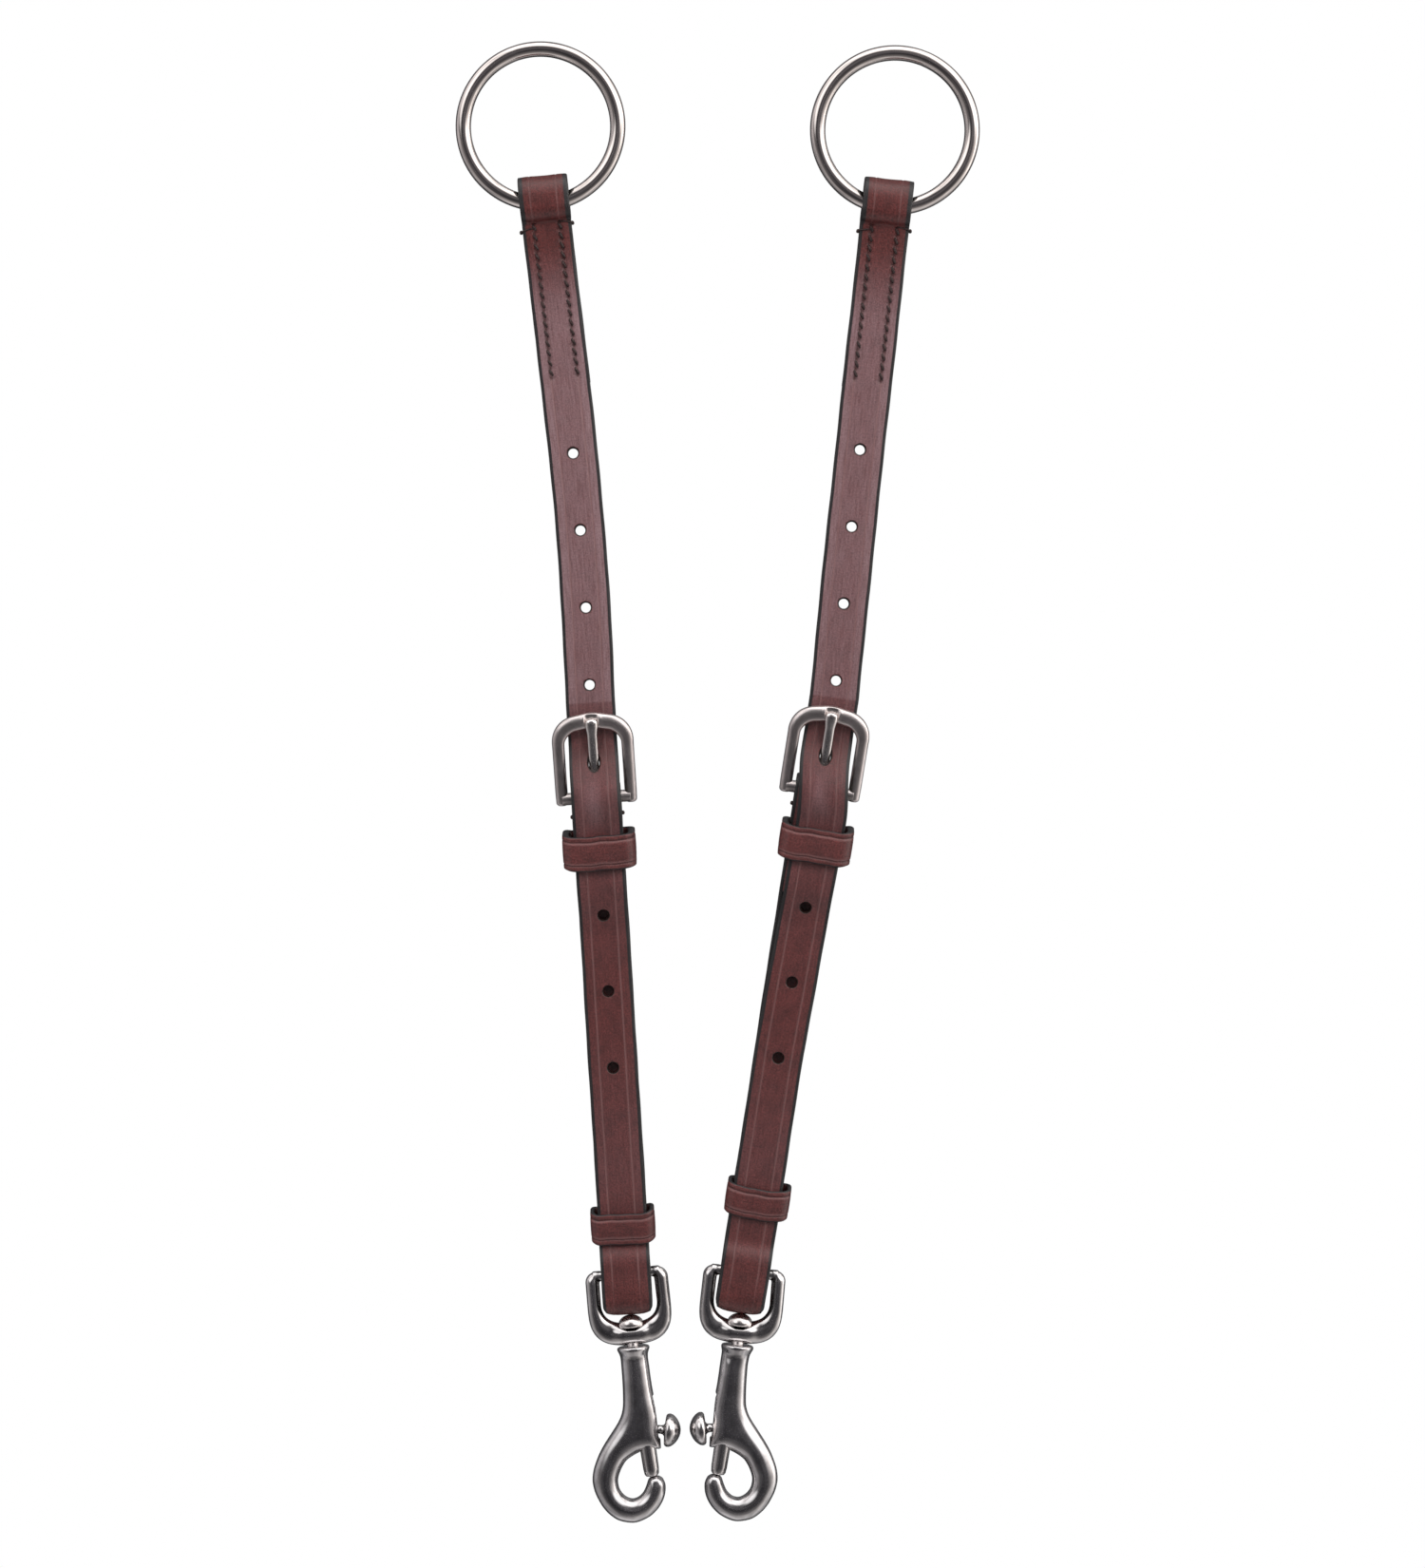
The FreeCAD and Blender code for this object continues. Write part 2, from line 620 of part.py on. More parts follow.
def make_bolt_spring(prefix, placement):
    body = new_body(prefix + "bolt_spring")
    sketch = sketch_on(body, prefix + "spring_wire", "XZ_Plane",
                       [circle(DIM["spring_radius"], 0, DIM["spring_wire_radius"])])
    coil = body.newObject("PartDesign::AdditiveHelix", prefix + "spring_coil")
    coil.Profile = sketch
    coil.ReferenceAxis = (origin_feature(body, "Z_Axis"), "")
    coil.Mode = 0               # sized by pitch and height
    coil.Height = 10.2
    set_size(coil, "Pitch", "spring_pitch")
    doc.recompute()
    export(body, placement)


# ---------------------------------------------------------------- assembly
def build(prefix, side):
    hand = side["hand"]
    ring_centre = V(side["ring"][0], 0, side["ring"][1])
    loop = along(ring_centre, side["loop_angle"], DIM["ring_centre_radius"])
    flex = along(loop, side["upper_lean"], side["flex"])
    bar = along(flex, side["lower_lean"], side["bar"])
    eye = along(bar, side["lower_lean"], side["reach"])
    upper = leaning(loop, side["upper_lean"])
    lower = leaning(bar, side["lower_lean"])
    hanging = leaning(eye, side["hook_lean"])

    make_ring(prefix, ring_centre)
    make_upper_strap(prefix, side, upper)
    face = LAYER + HALF_LEATHER
    make_stitches(prefix + "ring_stitching", rows=(-DIM["stitch_row"], DIM["stitch_row"]),
                  faces=(-face, face), first=7.9, count=16, placement=upper)
    make_lower_strap(prefix, side, lower)
    make_stitches(prefix + "buckle_stitching", rows=(-5.6, 5.6), faces=(face,),
                  first=15.5, count=5, placement=lower)

    # The buckle's top is tilted forward about its bar.
    buckle = lower * turned(V(1, 0, 0), DIM["frame_tilt"])
    make_buckle_frame(prefix, buckle)
    make_buckle_tongue(prefix, buckle)
    make_keeper(prefix + "fixed_keeper", half_width=9.5, front=-6.85, back=3.75,
                leather=DIM["keeper_leather"], height="keeper_height",
                placement=lower * moved(0, 0, -DIM["keeper_station"]))
    make_keeper(prefix + "runner_keeper", half_width=8.45, front=-3.5, back=3.5,
                leather=DIM["runner_leather"], height="runner_height",
                placement=lower * moved(0, 0, -side["runner"]))

    make_snap_eye(prefix, hanging)
    make_swivel_rivet(prefix, hanging)
    # Bolt, knob and spring share the bolt's own leaning axis.
    bolt_place = leaning(V(hand * 1.31, 0, -51.0), hand * DIM["bolt_lean"])
    bolt = hanging * bolt_place
    make_snap_hook(prefix, hand, bolt_place, hanging)
    make_snap_bolt(prefix, hand, bolt)
    make_thumb_knob(prefix, bolt * turned(V(0, 0, 1), 0 if hand > 0 else 180))
    make_bolt_spring(prefix, bolt * moved(0, 0, 4.2))


for side_name, side_sizes in SIDES.items():
    build(side_name + "_", side_sizes)
doc.recompute()

unsound = [obj.Name for obj in doc.Objects if "Invalid" in obj.State or "Error" in obj.State]
unsound += [obj.Label for obj in exports
            if obj.Shape.isNull() or not obj.Shape.isValid() or not obj.Shape.Solids]
if unsound:
    raise RuntimeError("not sound: " + ", ".join(unsound))

os.makedirs("parts", exist_ok=True)
for obj in exports:
    obj.Shape.exportStep("parts/%s.step" % obj.Label)
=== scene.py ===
"""Two hanging straps, left and right, each with a ring, a buckle and a snap hook.

X runs across, -Y faces the viewer and Z is up. Each strap is one strip of leather: it hangs
from a round ring, runs down the front, over the buckle and round the eye of a snap hook, then
back up behind to the buckle bar. Sizes are in mm in the pieces' own leaning frames.
"""
import json
import math
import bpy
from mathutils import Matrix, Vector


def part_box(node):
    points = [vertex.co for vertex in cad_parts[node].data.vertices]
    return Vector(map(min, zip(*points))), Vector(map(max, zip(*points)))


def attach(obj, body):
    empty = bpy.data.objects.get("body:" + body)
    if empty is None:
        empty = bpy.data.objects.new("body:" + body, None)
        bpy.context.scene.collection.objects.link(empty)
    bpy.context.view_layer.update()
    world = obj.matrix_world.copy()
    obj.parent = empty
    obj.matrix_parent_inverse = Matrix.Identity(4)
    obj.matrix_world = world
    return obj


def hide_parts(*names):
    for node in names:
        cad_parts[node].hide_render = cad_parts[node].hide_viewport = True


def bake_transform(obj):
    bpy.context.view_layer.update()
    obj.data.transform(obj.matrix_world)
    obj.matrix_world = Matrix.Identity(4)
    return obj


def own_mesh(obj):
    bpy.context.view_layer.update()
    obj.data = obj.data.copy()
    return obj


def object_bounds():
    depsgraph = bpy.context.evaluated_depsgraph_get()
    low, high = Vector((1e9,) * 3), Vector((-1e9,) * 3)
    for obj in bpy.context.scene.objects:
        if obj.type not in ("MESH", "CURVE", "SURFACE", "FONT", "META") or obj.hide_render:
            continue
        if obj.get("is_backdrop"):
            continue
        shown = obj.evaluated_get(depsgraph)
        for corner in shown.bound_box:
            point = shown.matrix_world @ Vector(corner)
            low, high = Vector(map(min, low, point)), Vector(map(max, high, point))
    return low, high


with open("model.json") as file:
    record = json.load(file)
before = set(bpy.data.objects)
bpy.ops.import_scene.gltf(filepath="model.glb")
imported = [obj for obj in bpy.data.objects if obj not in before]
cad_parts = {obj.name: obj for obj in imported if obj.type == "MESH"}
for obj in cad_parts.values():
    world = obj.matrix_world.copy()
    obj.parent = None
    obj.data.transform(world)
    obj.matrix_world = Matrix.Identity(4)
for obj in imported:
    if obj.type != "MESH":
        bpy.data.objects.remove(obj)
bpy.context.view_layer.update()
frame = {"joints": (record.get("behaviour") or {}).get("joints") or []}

from types import SimpleNamespace

import bmesh
import bpy
import numpy as np
from mathutils import Vector

JOINTS = {joint["name"]: joint for joint in frame["joints"]}
MM = 0.001
X_AXIS, Y_AXIS, Z_AXIS = np.eye(3)

# Strap
THICK = 2.8
LAYER = 1.6            # from the middle of a doubled strap to the middle of one layer
HALF_WIDTH = 8.0
CREASE = 4.3           # crease lines, either side of the middle
UPPER_STEP = 0.5       # spacing of the mesh rows above and below the flex line
LOWER_STEP = 0.6
GRAIN, EDGE, FLESH = 0, 1, 2    # surfaces of a leather section

# Stitching below the ring, measured down from the ring's frame
STITCH_FIRST, STITCH_PITCH, STITCH_COUNT = 7.9, 3.14, 16
STITCH_X = 4.15
AWL_HOLES = STITCH_FIRST + STITCH_PITCH * (np.arange(STITCH_COUNT + 1) - 0.5)

# Buckle and snap hook
BUCKLE_PITCH = math.radians(12.5)    # the frame tips forward about its bar
BAR_RADIUS = 2.0
TONGUE_EYE_RADIUS = 2.95
BOLT_X, BOLT_Z = 1.31, -51.0         # bolt origin in the eye's frame, left piece
KNOB_LEAN = math.radians(14)

SIDES = {
    "left": dict(
        hand=1,             # the right piece's hook mirrors x
        flex=162.0,         # flex line below the ring's frame
        flex_low=30.9,      # flex line above the buckle bar
        first_hole=81.5,    # top adjusting hole below the ring's frame
        reach=154.4,        # buckle bar down to just above the eye loop
        runner=139.0,       # sliding keeper below the buckle bar
        bow=1.9,            # sideways sag of the upper strap
        front_shift=0.0,    # sideways shift of the front layer near the sewn keeper
        phase=0.7,          # of the leather's waviness
        uv_shift=0.0,
        # strength of the painted sheen on the leather
        wear=1.0,
        sewn_phase=0.4, sewn_shift=0.0,
        runner_phase=2.7, runner_shift=0.0,
        weld=1.9,           # angle of the ring's narrow seam, radians
        shank_shift=0.0),   # the hook's shank moves sideways in its drawing
    "right": dict(
        hand=-1, flex=159.4, flex_low=30.6, first_hole=79.2, reach=157.8, runner=134.4,
        bow=-0.3, front_shift=1.9, phase=2.1, uv_shift=37.3, wear=0.9,
        sewn_phase=1.9, sewn_shift=1.25, runner_phase=4.1, runner_shift=0.45,
        weld=1.2, shank_shift=0.5),
}


# ------------------------------------------------------------------ curves and frames
def smooth(start, end, x):
    t = np.clip((np.asarray(x, float) - start) / (end - start), 0, 1)
    return t * t * (3 - 2 * t)


def bell(x, width, power=2):
    return np.exp(-(x / width) ** power)


def columns(*parts):
    """Stack coordinates, broadcast against each other, along a new last axis."""
    return np.stack(np.broadcast_arrays(*parts), -1)


def mirrored(half):
    """Half an outline ending at x = 0, followed by its mirror image."""
    return half + [(-x, z) for x, z in half[-2::-1]]


class Frame:
    """A hanging frame: x across, y back, z up along the piece; local sizes in mm."""

    def __init__(self, origin, lean, pitch=0.0):
        self.origin = np.array(origin, float)
        self.x = np.array([math.cos(lean), 0, math.sin(lean)])
        y, z = Y_AXIS, np.array([-math.sin(lean), 0, math.cos(lean)])
        cos, sin = math.cos(pitch), math.sin(pitch)
        self.y = y * cos + z * sin
        self.z = z * cos - y * sin

    def dirs(self, local):
        p = np.asarray(local, float)
        return p[..., 0:1] * self.x + p[..., 1:2] * self.y + p[..., 2:3] * self.z

    def pts(self, local):
        return self.origin + self.dirs(local) * MM

    def child(self, place, lean=0.0):
        new = Frame(self.pts(place), 0)
        cos, sin = math.cos(lean), math.sin(lean)
        new.x = self.x * cos + self.z * sin
        new.z = self.z * cos - self.x * sin
        new.y = self.y
        return new


def joint_lean(name):
    axis = JOINTS[name]["axis"]
    return math.atan2(axis[2], axis[0])


def joint_frame(name, pitch=0.0):
    return Frame(JOINTS[name]["pos_m"], joint_lean(name), pitch)


def angles(count):
    return np.linspace(0, 2 * math.pi, count, endpoint=False)


def circle(count):
    return columns(np.cos(angles(count)), np.sin(angles(count)))


def superellipse(width, depth, power, count):
    unit = circle(count)
    return np.sign(unit) * np.abs(unit) ** (2 / power) * (width, depth)


def arc_points(x, z, radius, start, end, count):
    angle = np.radians(np.linspace(start, end, count))
    return columns(x + radius * np.cos(angle), z + radius * np.sin(angle))


def rounded_rectangle(half_width, half_depth, radius, arc_steps, edge_steps):
    corners = []
    for x_sign, y_sign, start in ((1, 1, 0), (-1, 1, 90), (-1, -1, 180), (1, -1, 270)):
        corners.append(arc_points(x_sign * (half_width - radius), y_sign * (half_depth - radius),
                                  radius, start, start + 90, arc_steps + 1))
    steps = np.arange(1, edge_steps)[:, None] / edge_steps
    outline = []
    for corner, following in zip(corners, corners[1:] + corners[:1]):
        outline += [corner, corner[-1] + (following[0] - corner[-1]) * steps]
    return np.concatenate(outline)


def round_corners(points, radius):
    """Open outline with every inner corner rounded."""
    points = np.array(points, float)
    outline = [points[0]]
    for before, corner, after in zip(points, points[1:], points[2:]):
        u1 = (before - corner) / np.linalg.norm(before - corner)
        u2 = (after - corner) / np.linalg.norm(after - corner)
        half = math.acos(np.clip(u1 @ u2, -1, 1)) / 2
        reach = radius / math.tan(half)
        centre = corner + (u1 + u2) / np.linalg.norm(u1 + u2) * radius / math.sin(half)
        start, end = corner + u1 * reach - centre, corner + u2 * reach - centre
        first = math.atan2(start[1], start[0])
        turn = (math.atan2(end[1], end[0]) - first + math.pi) % (2 * math.pi) - math.pi
        for t in np.linspace(0, 1, 12):
            angle = first + turn * t
            outline.append(centre + radius * np.array([math.cos(angle), math.sin(angle)]))
    outline.append(points[-1])
    return np.array(outline)


def running_length(points):
    steps = np.linalg.norm(np.diff(points, axis=0), axis=1)
    return np.concatenate([[0], np.cumsum(steps)])


def spline(points, count, closed=False):
    """Catmull-Rom through points, evenly spaced by length."""
    p = np.asarray(points, float)
    n = len(p)
    dense = []
    for i in range(n if closed else n - 1):
        p0 = p[(i - 1) % n] if closed or i > 0 else 2 * p[0] - p[1]
        p1, p2 = p[i], p[(i + 1) % n]
        p3 = p[(i + 2) % n] if closed or i + 2 < n else 2 * p[-1] - p[-2]
        for t in np.linspace(0, 1, 24, endpoint=False):
            dense.append(0.5 * ((2 * p1) + (-p0 + p2) * t + (2 * p0 - 5 * p1 + 4 * p2 - p3) * t * t
                                + (-p0 + 3 * p1 - 3 * p2 + p3) * t ** 3))
    dense.append(p[0] if closed else p[-1])
    dense = np.array(dense)
    length = running_length(dense)
    at = np.linspace(0, length[-1], count, endpoint=not closed)
    return np.stack([np.interp(at, length, line) for line in dense.T], 1)


def tangents(points, closed=False):
    if closed:
        t = np.roll(points, -1, 0) - np.roll(points, 1, 0)
    else:
        t = np.gradient(points, axis=0)
    return t / np.maximum(np.linalg.norm(t, axis=1, keepdims=True), 1e-12)


# ------------------------------------------------------------------ shapes: (verts, faces)
def ring_faces(rings, count, closed=False):
    """Quads between successive rings of vertices, with end caps unless closed."""
    faces = []
    for i in range(rings if closed else rings - 1):
        a, b = i * count, ((i + 1) % rings) * count
        for j in range(count):
            k = (j + 1) % count
            faces.append((a + j, b + j, b + k, a + k))
    if not closed:
        faces.append(tuple(range(count))[::-1])
        faces.append(tuple(range((rings - 1) * count, rings * count)))
    return faces


def sweep(centres, across, other, profile, closed=False):
    """A profile in mm, or one for each centre, carried along centres in metres."""
    profile = np.broadcast_to(profile, (len(centres), *np.shape(profile)[-2:])) * MM
    verts = (centres[:, None] + profile[:, :, 0:1] * across[:, None]
             + profile[:, :, 1:2] * other[:, None])
    return verts.reshape(-1, 3), ring_faces(*profile.shape[:2], closed)


def lathe(place, axis, across, other, profile, count):
    """Profile (distance along axis, radius) turned round an axis through a frame's origin."""
    cos, sin = circle(count).T[:, :, None]
    rings = [along * axis + radius * (cos * across + sin * other) for along, radius in profile]
    return place.pts(np.concatenate(rings)), ring_faces(len(profile), count)


def tube(points, radius, count):
    """Round thread or wire through points in metres, radius in mm."""
    along = tangents(points)
    u = np.cross(along[0], Z_AXIS if abs(along[0][2]) < 0.9 else X_AXIS)
    u /= np.linalg.norm(u)
    across = []
    for t in along:
        u = u - t * (u @ t)
        u /= np.linalg.norm(u)
        across.append(u)
    across = np.array(across)
    radius = np.broadcast_to(radius, len(points))
    return sweep(points, across, np.cross(along, across), radius[:, None, None] * circle(count))


def join(parts):
    verts, faces, base = [], [], 0
    for part_verts, part_faces in parts:
        verts.append(part_verts)
        faces += [tuple(i + base for i in face) for face in part_faces]
        base += len(part_verts)
    return np.concatenate(verts), faces


# ------------------------------------------------------------------ objects
def make(side, name, shape, material, body=None, hides=None, uv=None, attributes=None):
    """Smooth object with its faces turned outwards; names are given without their side."""
    name = side.name + name
    verts, faces = shape
    mesh = bpy.data.meshes.new(name)
    verts = np.asarray(verts, float).reshape(-1, 3)
    mesh.from_pydata([tuple(v) for v in verts], [], [tuple(int(i) for i in f) for f in faces])
    mesh.update()
    for key, values in (attributes or {}).items():
        attribute = mesh.attributes.new(key, "FLOAT", "POINT")
        attribute.data.foreach_set("value", np.asarray(values, np.float32).ravel())
    if uv is not None:
        layer = mesh.uv_layers.new(name="UVMap")
        index = np.zeros(len(mesh.loops), np.int32)
        mesh.loops.foreach_get("vertex_index", index)
        layer.data.foreach_set("uv", np.asarray(uv, np.float32).reshape(-1, 2)[index].ravel())
    mesh.shade_smooth()
    ob = bpy.data.objects.new(name, mesh)
    bpy.context.scene.collection.objects.link(ob)
    mesh.materials.append(material)
    if body:
        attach(ob, side.name + body)
    if hides:
        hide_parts(side.name + hides)
    bm = bmesh.new()
    bm.from_mesh(mesh)
    bmesh.ops.recalc_face_normals(bm, faces=bm.faces)
    bm.to_mesh(mesh)
    bm.free()
    return ob


def apply_modifiers(ob):
    graph = bpy.context.evaluated_depsgraph_get()
    graph.update()
    mesh = bpy.data.meshes.new_from_object(ob.evaluated_get(graph), depsgraph=graph)
    ob.modifiers.clear()
    ob.data = mesh


def cut(ob, cutter):
    """Take the cutter out of the object and delete the cutter."""
    modifier = ob.modifiers.new("cut", "BOOLEAN")
    modifier.operation = "DIFFERENCE"
    modifier.solver = "EXACT"
    modifier.object = cutter
    bpy.context.view_layer.update()
    apply_modifiers(ob)
    bpy.data.objects.remove(cutter, do_unlink=True)


# ------------------------------------------------------------------ castings grown from fields
def inside_distance(outline, X, Z):
    """Distance from grid points to a closed outline, positive inside it."""
    P = np.stack([X.ravel(), Z.ravel()], 1)
    nearest = np.full(len(P), 1e9)
    inside = np.zeros(len(P), bool)
    for a, b in zip(outline, np.roll(outline, -1, 0)):
        d = b - a
        t = np.clip(((P - a) @ d) / max(d @ d, 1e-12), 0, 1)
        q = P - a - t[:, None] * d
        nearest = np.minimum(nearest, (q * q).sum(1))
        hit = (a[1] > P[:, 1]) != (b[1] > P[:, 1])
        crossing = a[0] + (P[:, 1] - a[1]) * d[0] / (d[1] if d[1] else 1e-12)
        inside ^= hit & (P[:, 0] < crossing)
    return (np.sqrt(nearest) * np.where(inside, 1, -1)).reshape(X.shape)


def surface_net(field, origin, step):
    """Closed skin round the part of a regular grid where the field is below zero."""
    inside = field < 0
    size = [n - 1 for n in field.shape]
    corners = list(np.ndindex(2, 2, 2))
    filled = sum(inside[tuple(slice(o, o + n) for o, n in zip(corner, size))].astype(int)
                 for corner in corners)
    cells = np.argwhere((filled > 0) & (filled < 8))
    index = -np.ones(size, np.int64)
    index[tuple(cells.T)] = np.arange(len(cells))
    # A vertex sits at the mean of its cell's edge crossings
    total = np.zeros((len(cells), 3))
    crossings = np.zeros(len(cells))
    for i, p in enumerate(corners):
        for q in corners[i + 1:]:
            if sum(abs(a - b) for a, b in zip(p, q)) != 1:
                continue
            at_p = field[tuple((cells + p).T)]
            at_q = field[tuple((cells + q).T)]
            cross = (at_p < 0) != (at_q < 0)
            t = np.where(cross, at_p / np.where(cross, at_p - at_q, 1), 0)
            edge = np.array(q) - np.array(p)
            total += np.where(cross[:, None], np.array(p) + t[:, None] * edge, 0)
            crossings += cross
    verts = np.asarray(origin, float) + (cells + total / crossings[:, None]) * step
    quads = []
    for axis in range(3):
        first, second = [k for k in range(3) if k != axis]
        here, ahead = [slice(1, -1)] * 3, [slice(1, -1)] * 3
        here[axis], ahead[axis] = slice(0, -1), slice(1, None)
        base = np.argwhere(inside[tuple(here)] != inside[tuple(ahead)])
        base[:, first] += 1
        base[:, second] += 1
        around = []
        for d1, d2 in ((-1, -1), (0, -1), (0, 0), (-1, 0)):
            cell = base.copy()
            cell[:, first] += d1
            cell[:, second] += d2
            around.append(index[tuple(cell.T)])
        quad = np.stack(around, 1)
        flip = inside[tuple(base.T)] != (axis == 1)
        quad[flip] = quad[flip][:, ::-1]
        quads.append(quad)
    return verts, np.concatenate(quads)


def rounded_plate(d, y, rim, power, half_depth):
    """Below zero inside a plate whose rims are rounded over the width of the rim."""
    g = (np.clip(rim - d, 0, None) / rim) ** power + (np.abs(y) / half_depth) ** power
    return (g ** (1 / power) - 1) * np.minimum(rim, half_depth)


def soft_min(a, b, k):
    h = np.clip(0.5 + 0.5 * (b - a) / k, 0, 1)
    return b * (1 - h) + a * h - k * h * (1 - h)


def cast(side, name, low, high, step, field, material, body, hides, relax):
    """A cast piece grown from its field on a fine grid, in the eye's frame."""
    axes = [np.arange(a, b + step, step) for a, b in zip(low, high)]
    verts, quads = surface_net(field(*np.meshgrid(*axes, indexing="ij")), low, step)
    shape = side.hang.pts(verts), quads
    ob = make(side, name, shape, material, body, hides)
    modifier = ob.modifiers.new("soft", "SMOOTH")
    modifier.iterations = relax
    modifier.factor = 0.5
    apply_modifiers(ob)
    ob.data.shade_smooth()


# ------------------------------------------------------------------ materials
class Tree:
    """Node tree of a material or world. Inputs take values, sockets or nodes (first output)."""

    def __init__(self, owner, output="OutputMaterial"):
        owner.use_nodes = True
        self.tree = owner.node_tree
        self.tree.nodes.clear()
        self.output = self.node(output)

    def feed(self, socket, value):
        if isinstance(value, bpy.types.Node):
            value = value.outputs[0]
        if isinstance(value, bpy.types.NodeSocket):
            self.tree.links.new(value, socket)
        elif socket.type == "RGBA":
            socket.default_value = (*value, 1)
        else:
            socket.default_value = value

    def set(self, node, **settings):
        """Inputs by name, with _ for a space, or properties of the node."""
        for key, value in settings.items():
            label = key.replace("_", " ")
            if label in node.inputs:
                self.feed(node.inputs[label], value)
            else:
                setattr(node, key, value)

    def node(self, kind, *values, **settings):
        node = self.tree.nodes.new("ShaderNode" + kind)
        self.set(node, **settings)
        for socket, value in zip(node.inputs, values):
            self.feed(socket, value)
        return node

    def finish(self, shader):
        self.feed(self.output.inputs[0], shader)

    def noise(self, vector, scale, detail, roughness=0.5):
        return self.node("TexNoise", Vector=vector, Scale=scale, Detail=detail,
                         Roughness=roughness)

    def math(self, operation, *values):
        return self.node("Math", *values, operation=operation)

    def ramp(self, factor, *stops):
        """Stops are (position, colour), a colour being a triple or a grey level."""
        ramp = self.node("ValToRGB", factor)
        elements = ramp.color_ramp.elements
        elements.remove(elements[1])
        for i, (position, colour) in enumerate(stops):
            element = elements.new(position) if i else elements[0]
            element.position = position
            rgb = colour if isinstance(colour, tuple) else (colour,) * 3
            element.color = (*rgb, 1)
        return ramp

    def mix(self, factor, a, b, mode="MIX"):
        mix = self.node("Mix", data_type="RGBA", blend_type=mode)
        for i, value in ((0, factor), (6, a), (7, b)):
            self.feed(mix.inputs[i], value)
        return mix.outputs[2]

    def attribute(self, name):
        return self.node("Attribute", attribute_name=name).outputs["Fac"]

    def bump(self, height, strength, distance, under=None):
        bump = self.node("Bump", Strength=strength, Distance=distance, Height=height)
        if under:
            self.set(bump, Normal=under)
        return bump


def principled(name):
    material = bpy.data.materials.new(name)
    tree = Tree(material)
    shader = tree.node("BsdfPrincipled")
    tree.finish(shader)
    return material, tree, shader


def scaled(colour, factor, shift=0.0):
    return tuple(value * factor + shift for value in colour)


def leather(name, dark, mid, sheen=None):
    """Mottled waxed leather with pores; a sheen colour adds painted sheen, painted highlights on the
    creases, painted shade and dyed edges.
    """
    material, tree, shader = principled(name)
    coords = tree.node("UVMap", uv_map="UVMap")
    clouds = tree.noise(coords, scale=1.5, detail=7.0, roughness=0.72)
    grain = tree.noise(coords, scale=17.0, detail=6.0, roughness=0.72)
    stretched = tree.node("Mapping", Vector=coords, Scale=(2.6, 0.22, 1))
    streaks = tree.noise(stretched, scale=6.0, detail=6.0, roughness=0.7)
    pores = tree.node("TexVoronoi", feature="DISTANCE_TO_EDGE", Scale=42.0, Vector=coords)
    # Colour: broad clouds, long streaks, then fine specks
    tone = tree.ramp(clouds, (0.34, dark), (0.52, mid), (0.7, scaled(mid, 1.25)))
    tone = tree.mix(0.22, tone,
                    tree.ramp(streaks, (0.38, scaled(dark, 0.62)), (0.62, scaled(mid, 1.5))))
    specks = tree.ramp(grain, (0.36, (0.40, 0.37, 0.37)), (0.49, 0.93), (0.64, (1.6, 1.6, 1.62)))
    tone = tree.mix(0.8, tone, specks, "MULTIPLY")
    rough = tree.math("MULTIPLY_ADD", grain, 0.30, 0.27)
    if sheen:
        # Painted sheen where the mesh asks for it, broken up by streaks and grain
        worn = tree.math("MULTIPLY", tree.attribute("worn"),
                         tree.ramp(streaks, (0.36, 0.58), (0.5, 0.86), (0.64, 1.08)))
        worn = tree.math("MULTIPLY", worn, tree.ramp(grain, (0.34, 0.6), (0.6, 1.1)))
        tone = tree.mix(worn, tone, sheen)
        # Painted highlights along the creases
        crease = tree.attribute("crease")
        tone = tree.mix(tree.math("MULTIPLY", crease, 0.36), tone, scaled(mid, 2.0, 0.075))
        # Painted shade in the dents, grooves and seams, and where the loops and the bulge turn away
        # from the light
        pressed = tree.attribute("pressed")
        tone = tree.mix(tree.math("MULTIPLY", pressed, 0.6), tone, scaled(dark, 0.45))
        # Near-black edges with a ragged border
        edge = tree.attribute("edge")
        ragged = tree.math("ADD", edge, tree.math("MULTIPLY_ADD", streaks, 0.5, -0.25))
        dyed = tree.ramp(ragged, (0.38, 0), (0.62, 1))
        tone = tree.mix(dyed, tone, (0.0085, 0.0075, 0.008))
        rough = tree.math("MULTIPLY_ADD", dyed, 0.06, rough)
    fine = tree.bump(pores, strength=0.28, distance=0.00012)
    fine = tree.bump(grain, strength=0.45, distance=0.00030, under=fine)
    relief = tree.bump(streaks, strength=0.3, distance=0.0005, under=fine)
    tree.set(shader, Base_Color=tone, Roughness=rough, Specular_IOR_Level=0.42,
             Coat_Weight=0.22, Coat_Roughness=0.30, Normal=relief)
    return material


